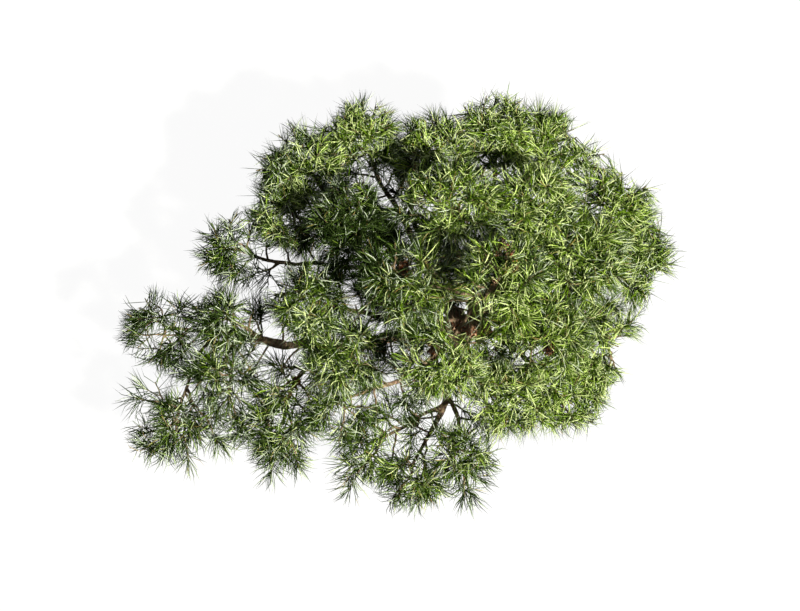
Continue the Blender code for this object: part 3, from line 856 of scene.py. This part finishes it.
def add_tube(faces, rings, tip, foot=None, slot=0):
    """A tube through rings of points, closed at its tip and, where one is given, at its foot."""
    count, sides = rings.shape[:2]
    first = np.arange(sides)
    turn = np.roll(first, -1) - first
    low = np.arange(count - 1)[:, None] * sides + first
    quads = np.stack([low, low + turn, low + turn + sides, low + sides], axis=-1).reshape(-1, 4)
    last = (count - 1) * sides + first
    triangles = [np.stack([last, last + turn, np.full(sides, count * sides)], axis=-1)]
    ends = [tip]
    if foot is not None:
        triangles.append(np.stack([first + turn, first, np.full(sides, count * sides + 1)], axis=-1))
        ends.append(foot)
    points = np.vstack([rings.reshape(-1, 3), ends])
    faces.add(points, quads, np.vstack(triangles), slot, slot)


def sweep(faces, places, sizes, sides, slot=0, closed_foot=False):
    """A tube round a path."""
    ways, spokes = spokes_along(places, sides)
    rings = places[:, None] + spokes * np.asarray(sizes)[..., None, None]
    tip = places[-1] + ways[-1] * sizes[-1] * 0.5
    add_tube(faces, rings, tip, places[0] if closed_foot else None, slot)


# ---------------- materials
def set_inputs(node, **values):
    """Sets a node's inputs. The _ in their names stand for spaces."""
    for key, value in values.items():
        node.inputs[key.replace("_", " ")].default_value = value
    return node


def plain(name, colour, roughness, **inputs):
    """A plain finish: all of its values are set on the shader itself."""
    made = bpy.data.materials.new(name)
    made.use_nodes = True
    shader = made.node_tree.nodes["Principled BSDF"]
    set_inputs(shader, Base_Color=(*colour, 1), Roughness=roughness, **inputs)
    return made


def add_node(made, kind, **values):
    return set_inputs(made.node_tree.nodes.new("ShaderNode" + kind), **values)


def bark_material():
    """Plates in patches of colour with a fine grain, and dark cracks where the relief is low."""
    made = bpy.data.materials.new("bark")
    made.use_nodes = True
    link = made.node_tree.links.new
    shader = made.node_tree.nodes["Principled BSDF"]
    set_inputs(shader, Roughness=0.88, Specular_IOR_Level=0.25)

    place = add_node(made, "TexCoord")
    patches = add_node(made, "TexNoise", Scale=22, Detail=6)
    grain = add_node(made, "TexNoise", Scale=260, Detail=5)
    flakes = add_node(made, "TexVoronoi", Scale=150)
    for texture in (patches, grain, flakes):
        link(place.outputs["Object"], texture.inputs["Vector"])

    plates = add_node(made, "ValToRGB")
    ramp = plates.color_ramp.elements
    ramp.new(0.5)
    for element, (at, colour) in zip(ramp, BARK_COLOURS):
        element.position = at
        element.color = (*colour, 1)
    link(patches.outputs["Fac"], plates.inputs["Fac"])

    speckle = add_node(made, "Mix", Factor=0.55)
    speckle.data_type, speckle.blend_type = "RGBA", "OVERLAY"
    link(plates.outputs["Color"], speckle.inputs["A"])
    link(grain.outputs["Color"], speckle.inputs["B"])

    relief = add_node(made, "Attribute")
    relief.attribute_name = "relief"
    cracks = add_node(made, "Mix")
    cracks.data_type = "RGBA"
    cracks.inputs["A"].default_value = (*CRACK_COLOUR, 1)
    link(relief.outputs["Fac"], cracks.inputs["Factor"])
    link(speckle.outputs["Result"], cracks.inputs["B"])
    link(cracks.outputs["Result"], shader.inputs["Base Color"])

    height = add_node(made, "Math")
    height.operation = "MULTIPLY_ADD"
    height.inputs[1].default_value = 0.6
    link(grain.outputs["Fac"], height.inputs[0])
    link(flakes.outputs["Distance"], height.inputs[2])
    bump = add_node(made, "Bump", Strength=0.7, Distance=0.0012)
    link(height.outputs["Value"], bump.inputs["Height"])
    link(bump.outputs["Normal"], shader.inputs["Normal"])
    return made


# ---------------- bark
def trunk_shape(faces):
    """The trunk as a tube of close rings, with its foot spread into root lobes and cut level."""
    shares = np.linspace(0, 1, TRUNK_RINGS)
    places = np.array([trunk_point(share) for share in shares])
    ways, spokes = spokes_along(places, TRUNK_SIDES)
    flare = FLARE_SPREAD * np.clip(1 - places[:, 2][:, None] / FLARE_HEIGHT, 0, 1) ** 2
    around = np.arctan2(spokes[..., 1], spokes[..., 0])
    lobes = 1 - LOBE_DEPTH + LOBE_DEPTH * np.sin(ROOT_LOBES * around + LOBE_TURN)
    radii = trunk_radius(shares)[:, None] + flare * lobes
    rings = places[:, None] + spokes * radii[..., None]
    rings[0, :, 2] = 0
    rings[..., 2] = np.maximum(rings[..., 2], 0)
    add_tube(faces, rings, places[-1] + ways[-1] * TRUNK_CAP, np.zeros(3))


def bark_piece(trunk, limbs):
    """The trunk and boughs as one skin: their tubes are remeshed into one, so each fork has a
    rounded crotch, and the skin is then raised into plates and cracks along the wood."""
    faces = Faces()
    trunk_shape(faces)
    for name, limb in limbs.items():
        places, sizes = smooth_path(limb.points, limb.radii, LIMB_STEP)
        shares = np.linspace(0, 1, len(places))
        sizes = sizes * (1 + COLLAR * np.exp(-shares * COLLAR_SHORTNESS))
        places, sizes = crooked(name, places, sizes)
        sweep(faces, places, sizes, LIMB_SIDES, closed_foot=True)
    rough = bpy.data.objects.new("rough_wood", faces.mesh("rough_wood"))
    bpy.context.scene.collection.objects.link(rough)
    remesh = rough.modifiers.new("skin", "REMESH")
    remesh.mode = "VOXEL"
    remesh.voxel_size = VOXEL
    smooth = rough.modifiers.new("smooth", "SMOOTH")
    smooth.factor = 0.5
    smooth.iterations = 2
    graph = bpy.context.evaluated_depsgraph_get()
    skin = bpy.data.meshes.new_from_object(rough.evaluated_get(graph))
    bpy.data.objects.remove(rough)
    raise_bark(skin, (trunk, *limbs.values()))
    piece = show("bark", skin, [bark_material()], smooth=True)
    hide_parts("trunk", *["bough_" + name for name in limbs])


def crooked(name, places, sizes):
    """Bends and swells a limb a little, as where twigs once stood, and leaves its ends in place."""
    chance = random.Random("crooked " + name)
    seed = Vector([chance.uniform(-50, 50) for _ in range(3)])
    run = np.concatenate([[0], np.cumsum(np.linalg.norm(np.diff(places, axis=0), axis=1))])
    bends = np.array([noise.noise_vector(seed + UP * r * BENDS_PER_METRE) for r in run])
    swells = np.array([noise.noise(seed - UP * r * SWELLS_PER_METRE) for r in run])
    held = np.maximum(0, np.sin(math.pi * run / run[-1])) ** 0.5
    most = np.minimum(MOST_BEND, sizes * 0.9)
    return places + bends * (held * most)[:, None], sizes * (1 + SWELL * swells * held)


def raise_bark(skin, limbs):
    """Moves the skin's points out on plates and in at cracks, which run along the nearest limb,
    and keeps how high each one stands as the attribute relief."""
    points = np.zeros(len(skin.vertices) * 3, np.float32)
    skin.vertices.foreach_get("co", points)
    points = points.reshape(-1, 3).astype(float)
    normals = np.array([v.normal for v in skin.vertices])
    starts, ends, radii, offsets = [], [], [], []
    for number, limb in enumerate(limbs):
        run = number * PATTERNS_APART
        for a, b, ra, rb in zip(limb.points, limb.points[1:], limb.radii, limb.radii[1:]):
            starts.append(a)
            ends.append(b)
            radii.append((ra, rb))
            offsets.append(run)
            run += (b - a).length
    starts, ends, radii, offsets = map(np.array, (starts, ends, radii, offsets))
    runs = ends - starts
    lengths = np.linalg.norm(runs, axis=1)
    relief = np.ones(len(points))
    moved = points.copy()
    for low in range(0, len(points), BATCH):
        part = points[low : low + BATCH]
        offset = part[:, None] - starts[None]
        share = np.clip((offset * runs).sum(2) / lengths**2, 0, 1)
        off_axis = offset - share[..., None] * runs
        size = radii[:, 0] + (radii[:, 1] - radii[:, 0]) * share
        best = np.argmin(np.linalg.norm(off_axis, axis=2) - size, axis=1)
        row = np.arange(len(part))
        radius = size[row, best]
        run_along = offsets[best] + share[row, best] * lengths[best]
        ways = runs[best] / lengths[best][:, None]
        depth = np.minimum(MOST_RELIEF, radius * RELIEF_PER_RADIUS)
        width = np.clip(radius * PLATE_PER_RADIUS, LEAST_PLATE, PLATE_WIDTH)
        length = width * PLATE_LENGTH / PLATE_WIDTH
        spots = off_axis[row, best] / width[:, None] + ways * (run_along / length)[:, None]
        for i in range(len(part)):
            spot = Vector(spots[i])
            wavy = spot + noise.noise_vector(spot * 0.9) * PLATE_WAVE
            near = noise.voronoi(wavy)[0]
            plate = min(1.0, (near[1] - near[0]) / CRACK_WIDTH)
            relief[low + i] = plate
            if part[i][2] < LEVEL_BELOW:
                continue
            fine = noise.fractal(spot * 2.3, 0.8, 2.1, 3)
            lump = noise.noise(Vector(part[i]) * LUMPS_PER_METRE)
            lift = depth[i] * (plate - PLATES_SUNK + FINE_SHARE * fine)
            moved[low + i] += normals[low + i] * (lift + radius[i] * LUMP_SIZE * lump)
    moved[:, 2] = np.maximum(moved[:, 2], 0)
    skin.vertices.foreach_set("co", moved.astype(np.float32).ravel())
    attribute = skin.attributes.new("relief", "FLOAT", "POINT")
    attribute.data.foreach_set("value", (relief**CRACK_PALENESS).astype(np.float32))
    skin.update()


# ---------------- needles
def levelled(ways, shoot):
    """Needles of open masses, and of the crown's rim, lie flatter, so that they fan outward."""
    offset = (shoot.base - middle_of(shoot.mass)) / shoot.mass.spread
    rim = min(1, max(0, offset.dot(compass(shoot.mass.bearing))))
    steepness = OPEN_STEEPNESS if shoot.mass.name in OPEN else 1 - RIM_LEVELLING * rim
    return unit(ways * (1, 1, steepness))


def needle_bundles(shoot, dice):
    """The roots, first ways, last ways and lengths of a shoot's needles. The five of a bundle
    part a little, and bend together."""
    filling = shoot.filling
    facing = np.array(shoot.facing)
    across = np.array(shoot.facing.orthogonal().normalized())
    other = np.cross(facing, across)
    share = (np.arange(filling.bundles) + 0.5) / filling.bundles
    around = np.arange(filling.bundles) * GOLDEN_ANGLE + dice.uniform(0, 2 * math.pi)
    out = across * np.cos(around)[:, None] + other * np.sin(around)[:, None]
    splay = np.radians(SPLAY_FIRST + (SPLAY_LAST - SPLAY_FIRST) * share**1.1)
    splay += np.radians(dice.normal(0, SPLAY_SCATTER, filling.bundles))
    ways = facing * np.cos(splay)[:, None] + out * np.sin(splay)[:, None]
    lift = facing * TIPS_AHEAD + np.array(UP) * TIPS_UP
    last_ways = unit(ways + lift + dice.normal(0, filling.bend, ways.shape))
    roots = np.array(shoot.base) + facing * (BRUSH * share)[:, None] + out * SHOOT_RADIUS
    roots, ways, last_ways = (
        np.repeat(rows, NEEDLES_PER_BUNDLE, axis=0) for rows in (roots, ways, last_ways)
    )
    roots = roots + facing * dice.uniform(-ROOTS_APART, ROOTS_APART, (len(roots), 1))
    ways = levelled(ways + dice.normal(0, STRAY, ways.shape), shoot)
    last_ways = levelled(last_ways + dice.normal(0, STRAY * 1.4, ways.shape), shoot)
    lengths = NEEDLE * shoot.vigour * dice.uniform(*NEEDLE_LENGTHS, len(ways))
    return roots, ways, last_ways, lengths


def add_needles(faces, needles, facing, slots, rings, radius, dice):
    """Three-sided needles, each on its own bend: green outside, and paler on the inner side."""
    roots, ways, last_ways, lengths = needles
    count = len(roots)
    if not count:
        return
    middle = roots + ways * (lengths * 0.5)[:, None]
    ends = middle + last_ways * (lengths * 0.5)[:, None]
    inner = unit(facing - ways * (ways @ facing)[:, None] + dice.normal(0, ROLL, ways.shape))
    side = unit(np.cross(ways, inner))
    inner = np.cross(side, ways)
    places = []
    for share, size in rings:
        place = roots * (1 - share) ** 2 + middle * 2 * share * (1 - share) + ends * share**2
        for angle in (-math.pi / 3, math.pi / 3, math.pi):
            spoke = inner * math.cos(angle) + side * math.sin(angle)
            places.append(place + spoke * (radius * size)[:, None])
    places.append(ends)
    points = np.stack(places, axis=1)
    tip = points.shape[1] - 1
    quads, triangles, quad_inner, triangle_inner = [], [(2, 1, 0)], [], [False]
    for k in range(3):
        after = (k + 1) % 3
        triangles.append((tip - 3 + k, tip - 3 + after, tip))
        triangle_inner.append(k == 0)
        for ring in range(len(rings) - 1):
            a, b = ring * 3 + k, ring * 3 + after
            quads.append((a, b, b + 3, a + 3))
            quad_inner.append(k == 0)
    base = np.arange(count)[:, None, None] * (tip + 1)
    faces.add(
        points.reshape(-1, 3),
        (base + np.array(quads, int).reshape(-1, 4)).reshape(-1, 4),
        (base + np.array(triangles)).reshape(-1, 3),
        (slots[:, None] * 2 + np.array(quad_inner, int)).ravel(),
        (slots[:, None] * 2 + np.array(triangle_inner, int)).ravel(),
    )


# The needles' greens, outer and inner side: the tones from deep to bright, which serve both as
# greens that differ at random and as painted shade to painted sunlight, and then those of needles
# drawn pale all round, partly their pale inner side and partly painted highlight, and of dry ones.
GREENS = (
    ("shade", (0.009, 0.020, 0.002), (0.062, 0.100, 0.026)),
    ("deep", (0.019, 0.041, 0.003), (0.105, 0.170, 0.038)),
    ("leaf", (0.042, 0.083, 0.004), (0.180, 0.270, 0.052)),
    ("fresh", (0.075, 0.148, 0.005), (0.255, 0.375, 0.062)),
    ("bright", (0.132, 0.245, 0.007), (0.335, 0.480, 0.070)),
    ("silver", (0.360, 0.430, 0.300), (0.560, 0.640, 0.460)),
    ("pale", (0.470, 0.565, 0.230), (0.650, 0.745, 0.350)),
    ("lime", (0.440, 0.590, 0.150), (0.600, 0.725, 0.260)),
    ("straw", (0.250, 0.190, 0.050), (0.380, 0.320, 0.120)),
)
BRIGHT, SILVER, LIME, STRAW = 4, 5, 7, 8
# The shares of needles drawn pale all round, partly their pale inner side and partly painted
# highlight, in dense and in open masses, and of dry ones.
PALE_SHARE, OPEN_PALE_SHARE, STRAW_SHARE = 0.33, 0.18, 0.015
PALE_WIDER = 1.2
# The tone, which counts along the row of greens: how it changes across the crown, lighter to the
# right and the front as painted sunlight, from shoot to shoot and from needle to needle at random,
# and within a mass, darker below as painted shade.
TONE, SUN_TONE_TO_RIGHT, SUN_TONE_TO_FRONT = 1.22, 1.6, 0.3
SHOOTS_DIFFER, NEEDLES_DIFFER = 0.4, 1.6
PALE_PER_TONE, PALE_DIFFER = 0.65, 0.5
OPEN_IS_DEEPER, LOWER_IS_SHADED, RIM_IS_DEEPER = 0.7, 2.8, 5.0
# Spots of painted shade and painted light, where the greens turn darker or lighter: the middle of
# the place, how wide, and by how much.
PAINTED_LIGHT_SPOTS = (
    ((-0.18, 0.16), 0.095, -3.2),
    ((-0.18, 0.42), 0.10, 0.5),
    ((0.08, 0.07), 0.12, -0.6),
    ((-0.15, -0.01), 0.09, -1.0),
    ((-0.40, 0.30), 0.10, -1.4),
    ((-0.25, 0.23), 0.05, 1.6),
    ((-0.56, 0.03), 0.12, -1.4),
    ((0.27, 0.12), 0.12, -0.7),
)
# How the share of pale needles follows the spots: more painted highlight where a spot paints light.
PALE_BY_TONE, LEAST_PALE, MOST_PALE = 0.35, 0.2, 1.5


def needle_materials():
    made = []
    for name, outer, inner in GREENS:
        made.append(plain("needle_" + name, outer, 0.50, Specular_IOR_Level=0.05))
        made.append(plain("needle_" + name + "_inner", inner, 0.55, Specular_IOR_Level=0.05))
    return made


def green_of(shoot, dice, count):
    """Deals out the greens: lighter towards the right, the front and the top of a mass, as painted
    sunlight, and darker to the left and below, as painted shade. They are darker at the rim too,
    darker or lighter in spots of painted shade and light, and differ at random from shoot to shoot
    and needle to needle. A share of the needles is drawn pale all round, partly for their pale inner
    side and partly as painted highlight."""
    place, mass = shoot.base, shoot.mass
    is_open = mass.name in OPEN
    # Painted sunlight: the tone grows towards the right and the front.
    light = TONE + SUN_TONE_TO_RIGHT * place.x - SUN_TONE_TO_FRONT * place.y - OPEN_IS_DEEPER * is_open
    offset = (place - middle_of(mass)) / mass.spread
    rim = max(0, offset.dot(compass(mass.bearing)))
    # Painted shade: darker below the middle of a mass; darker at the rim as well.
    light += LOWER_IS_SHADED * offset.z - RIM_IS_DEEPER * rim * mass.reach
    # Spots of painted shade and painted light.
    painted_spots = sum(
        most * math.exp(-((math.dist(place.xy, middle) / width) ** 2))
        for middle, width, most in PAINTED_LIGHT_SPOTS
    )
    light += painted_spots
    light += dice.normal(0, SHOOTS_DIFFER)
    tone = np.clip(np.round(light + dice.normal(0, NEEDLES_DIFFER, count)), 0, BRIGHT)
    # The pale kind follows the painted sunlight: limier where it is sunlit, more silver in the
    # painted shade.
    pale = SILVER + PALE_PER_TONE * light + dice.normal(0, PALE_DIFFER, count)
    pale = np.clip(np.round(pale), SILVER, LIME)
    share = OPEN_PALE_SHARE if is_open else PALE_SHARE
    # More needles drawn pale, as painted highlight, where a spot paints light, and fewer where it
    # paints shade.
    share *= min(MOST_PALE, max(LEAST_PALE, 1 + PALE_BY_TONE * painted_spots))
    tone = np.where(dice.random(count) < share, pale, tone)
    return np.where(dice.random(count) < STRAW_SHARE, STRAW, tone).astype(int)


def foliage(trunk, limbs):
    """All of the masses: the needles, one piece for each region, and the twigs and buds."""
    stems = {mass.name: stem_of(mass, limbs, trunk) for mass in MASSES}
    wood = []
    for limb in (trunk, *limbs.values()):
        wood += map(Twig, limb.points, limb.points[1:], limb.radii, limb.radii[1:])
    wood += stems.values()
    crown = Crown(wood)
    materials = needle_materials()
    masses = {mass.name: mass for mass in MASSES}
    twigs, buds = Faces(), Faces()
    for region, names in REGIONS.items():
        needles = Faces()
        for name in names:
            others = [piece for piece in wood if piece is not stems[name]]
            chance = random.Random("shoots " + name)
            tufts = twigs_of(masses[name], stems[name], others, trunk, limbs, twigs, chance)
            dice = np.random.default_rng([ord(letter) for letter in name])
            for tuft in tufts:
                add_tuft(needles, twigs, buds, masses[name], tuft, crown, chance, dice)
        piece = show("needles_" + region, needles.mesh("needles_" + region), materials)
        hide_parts(*["foliage_" + name for name in names])
    for name, share in HUSKS:
        add_husk(buds, limbs[name], name, share)
    for name, share, end in OLD_SHOOTS:
        add_old_shoot(twigs, buds, trunk if name == "trunk" else limbs[name], name, share, end)
    bark = plain("twig_bark", (0.205, 0.143, 0.085), 0.85)
    young = plain("young_twig", (0.105, 0.092, 0.036), 0.75)
    show("twigs", twigs.mesh("twigs"), [bark, young], smooth=True)
    scales = [plain(name, colour, 0.8) for name, colour in SCALE_COLOURS]
    bud = plain("bud", (0.170, 0.130, 0.050), 0.6)
    show("buds", buds.mesh("buds"), [bud, *scales])


def twigs_of(mass, stem, others, trunk, limbs, twigs, chance):
    """Adds a mass's twigs, with those of its limb, and returns its tufts: the twig that each one
    ends, the way that it faces, and its filling."""
    bare = [stem]
    ends = grow(Room(mass, others), stem.end, stem.end_radius, tufts_of(mass), bare)
    tufts = [(*end, filling_of(mass)) for end in ends]
    stubs = []
    if mass.name in limbs:
        limb = limbs[mass.name]
        between, sprigs = sprigs_of(mass.name, limb)
        spurs = spurs_of(mass, limb) + sprigs
        if mass.name == ROUND_THE_TRUNK:
            spurs += spurs_of_trunk(trunk)
        filling = OPEN_SPURS if mass.name in OPEN else DENSE_SPURS
        tufts += [(*spur, filling) for spur in spurs]
        bare += between
        stubs = stubs_of(mass.name, limb)
    for twig in bare:
        add_twig(twigs, twig[:2], twig[2:], chance)
    for path in stubs:
        add_twig(twigs, path, STUB_RADII, chance)
    return tufts


def rings_of(shoot):
    if shoot.mass.name in OPEN:
        return OPEN_RINGS
    if shoot.base.z < shoot.mass.height + HIDDEN_BELOW:
        return HIDDEN_RINGS
    return SEEN_RINGS


def add_tuft(needles, twigs, buds, mass, tuft, crown, chance, dice):
    """A tuft's shoots with their needles and buds, and its twig if it bears any needles."""
    twig, facing, filling = tuft
    if in_opening(twig.end):
        return
    kept = 0
    for shoot in shoots_of_tuft(twig, facing, mass, filling, chance):
        share = add_brush(needles, shoot, crown, dice)
        kept += share
        if share < BARE_BELOW:
            continue
        path = [*shoot.path, shoot.base + shoot.facing * BRUSH]
        add_twig(twigs, path, (TWIG_TIP_RADIUS, SHOOT_TIP_RADIUS), chance, young=True)
        if shoot.base.z > mass.height:
            add_bud(buds, shoot, chance)
    if kept:
        add_twig(twigs, twig[:2], (twig.start_radius, TWIG_TIP_RADIUS), chance)


def add_brush(faces, shoot, crown, dice):
    """A shoot's needles. One that would leave the crown or cross a limb is tried shorter, and
    then left out. Spurs stand inside the crown's outline, so only the limbs bound theirs.
    Returns the share that is kept, or 0 where so few would stay that the shoot is left out."""
    roots, ways, last_ways, full = needle_bundles(shoot, dice)
    slots = green_of(shoot, dice, len(roots))
    raggedness = np.minimum(dice.exponential(RAGGED, len(roots)) - HELD_IN, MOST_RAGGED)
    lengths = np.zeros(len(roots))
    for share in SHORTER:
        half = (full * share * 0.5)[:, None]
        middle = roots + ways * half
        tips = middle + last_ways * half
        fits = crown.clear(middle, raggedness) & crown.clear(tips, raggedness)
        if shoot.filling not in (OPEN_SPURS, DENSE_SPURS):
            fits &= crown.holds(tips, raggedness)
        lengths = np.where((lengths == 0) & fits, full * share, lengths)
    kept = lengths > 0
    if np.mean(kept) < BARE_BELOW:
        return 0
    slots = slots[kept]
    needles = roots[kept], ways[kept], last_ways[kept], lengths[kept]
    radii = shoot.filling.radius * np.where((slots >= SILVER) & (slots <= LIME), PALE_WIDER, 1)
    add_needles(faces, needles, np.array(shoot.facing), slots, rings_of(shoot), radii, dice)
    return np.mean(kept)


def add_twig(faces, path, radii, chance, young=False):
    """A twig. One with no bend of its own gets a few slight ones."""
    start, end = path[0], path[-1]
    length = (end - start).length
    if len(path) == 2 and length > LONGEST_STRAIGHT:
        count = 1 if length < TWIG_BENDS_APART else round(length / TWIG_BENDS_APART) + 1
        path = [start]
        for i in range(1, count + 1):
            way = Vector([chance.uniform(-1, 1) for _ in range(3)])
            share = (i + chance.uniform(-0.25, 0.25)) / (count + 1)
            path.append(start.lerp(end, share) + way * TWIG_BEND * length / count**0.7)
        path.append(end)
    thinner = radii[1] - radii[0]
    sizes = [radii[0] + thinner * i / (len(path) - 1) for i in range(len(path))]
    places, sizes = smooth_path(path, sizes, TWIG_STEP)
    sweep(faces, places, sizes, 3 if young else 5, int(young))


def add_bud(faces, shoot, chance):
    base = shoot.base + shoot.facing * BRUSH
    length = chance.uniform(*BUD_LENGTH)
    places = np.array([base + shoot.facing * length * share for share in BUD_SHARES])
    sweep(faces, places, BUD_RADII, 3)


def add_old_shoot(twigs, buds, limb, name, share, end):
    """A bare bent shoot with a husk at its end and another below it."""
    start, end = along(limb, share)[0], Vector(end)
    points = [start, start.lerp(end, 0.5) + Vector(OLD_SHOOT_BEND), end]
    radii = [OLD_SHOOT_RADIUS * thinner for thinner in (1, 0.9, 0.8)]
    add_twig(twigs, points, (radii[0], radii[-1]), None)
    for at in OLD_SHOOT_HUSKS:
        add_husk(buds, Limb(points, radii), name, at)


def add_husk(faces, limb, name, share):
    """A ruff of dry scales round a limb's upper side. Each one is a flake with a keel below."""
    dice = np.random.default_rng([ord(letter) for letter in name] + [round(share * 100)])
    place, radius, way, left = beside(limb, share)
    upper = way.cross(left)
    around = dice.uniform(0.05, 0.95, SCALES) * math.pi
    spokes = np.stack([np.cos(around), np.sin(around), dice.normal(0, 0.25, SCALES)], axis=1)
    spokes[:, 1] *= 1 if upper.z >= 0 else -1
    out = unit(spokes @ np.array([left, upper, way]))
    spread = np.outer(dice.uniform(-1, 1, SCALES), way) * HUSK_HALF_LENGTH
    roots = np.array(place) + out * radius * 0.8 + spread
    ways = unit(out + dice.normal(0, 0.5, out.shape))
    side = unit(np.cross(ways, dice.normal(0, 1, out.shape)))
    lift = np.cross(ways, side)
    lengths = dice.uniform(*SCALE_LENGTH, SCALES)[:, None]
    broad = roots + ways * lengths * 0.55
    half_width, rise = side * lengths * 0.24, lift * SCALE_RISE
    keel = roots + ways * lengths * 0.5 - lift * SCALE_KEEL
    tips = roots + ways * lengths + lift * lengths * 0.35
    edges = broad + half_width + rise, broad - half_width + rise
    points = np.stack([roots, *edges, keel, tips], axis=1)
    sides = np.array([(0, 1, 2), (2, 1, 4), (0, 3, 1), (0, 2, 3), (1, 3, 4), (2, 4, 3)])
    base = np.arange(SCALES)[:, None, None] * points.shape[1]
    slots = np.repeat(dice.choice((1, 2, 2, 3), SCALES), len(sides))
    faces.add(points.reshape(-1, 3), np.zeros((0, 4), int), (base + sides).reshape(-1, 3), 0, slots)


# ---------------- the stage
def glowing(name, colour, strength):
    """A pale finish that shines by itself, so that lights neither dazzle it nor darken it much."""
    glow = {"Emission_Color": WHITE, "Emission_Strength": strength}
    return plain(name, colour, 0.9, Specular_IOR_Level=0.0, **glow)


def stage():
    """A pale floor and a backdrop round it, which only the camera sees, the lights, and the
    camera above the crown."""
    bpy.ops.mesh.primitive_plane_add(size=FLOOR_SIZE, location=(0, 0, 0))
    floor = bpy.context.object
    floor.name = "floor"
    floor.data.materials.append(glowing("floor", FLOOR_COLOUR, FLOOR_GLOW))
    bpy.ops.mesh.primitive_uv_sphere_add(segments=48, ring_count=24, radius=FLOOR_SIZE / 2)
    backdrop = bpy.context.object
    backdrop.name = "backdrop"
    backdrop.data.materials.append(glowing("backdrop", (0, 0, 0), BACKDROP_GLOW))
    backdrop.visible_shadow = False
    for piece in (floor, backdrop):
        piece.visible_diffuse = False
        piece.visible_glossy = False

    scene = bpy.context.scene
    world = bpy.data.worlds.new("studio")
    world.use_nodes = True
    set_inputs(world.node_tree.nodes["Background"], Color=WHITE, Strength=WORLD_STRENGTH)
    scene.world = world

    for name, energy, angle, colour, way in LIGHTS:
        sun = bpy.data.lights.new(name, "SUN")
        sun.energy = energy
        sun.angle = math.radians(angle)
        sun.color = colour
        lamp = bpy.data.objects.new(name, sun)
        lamp.rotation_euler = Vector(way).to_track_quat("Z", "Y").to_euler()
        scene.collection.objects.link(lamp)

    data = bpy.data.cameras.new("camera")
    data.sensor_width = SENSOR
    data.lens = SENSOR * (CAMERA_AT[2] - CROWN_HEIGHT) / FRAME_WIDTH
    data.clip_end = 50
    camera = bpy.data.objects.new("camera", data)
    camera.location = CAMERA_AT
    scene.collection.objects.link(camera)
    scene.camera = camera
    scene.view_settings.view_transform = "Standard"


def main():
    trunk, limbs = all_limbs()
    stage()
    bark_piece(trunk, limbs)
    foliage(trunk, limbs)


main()
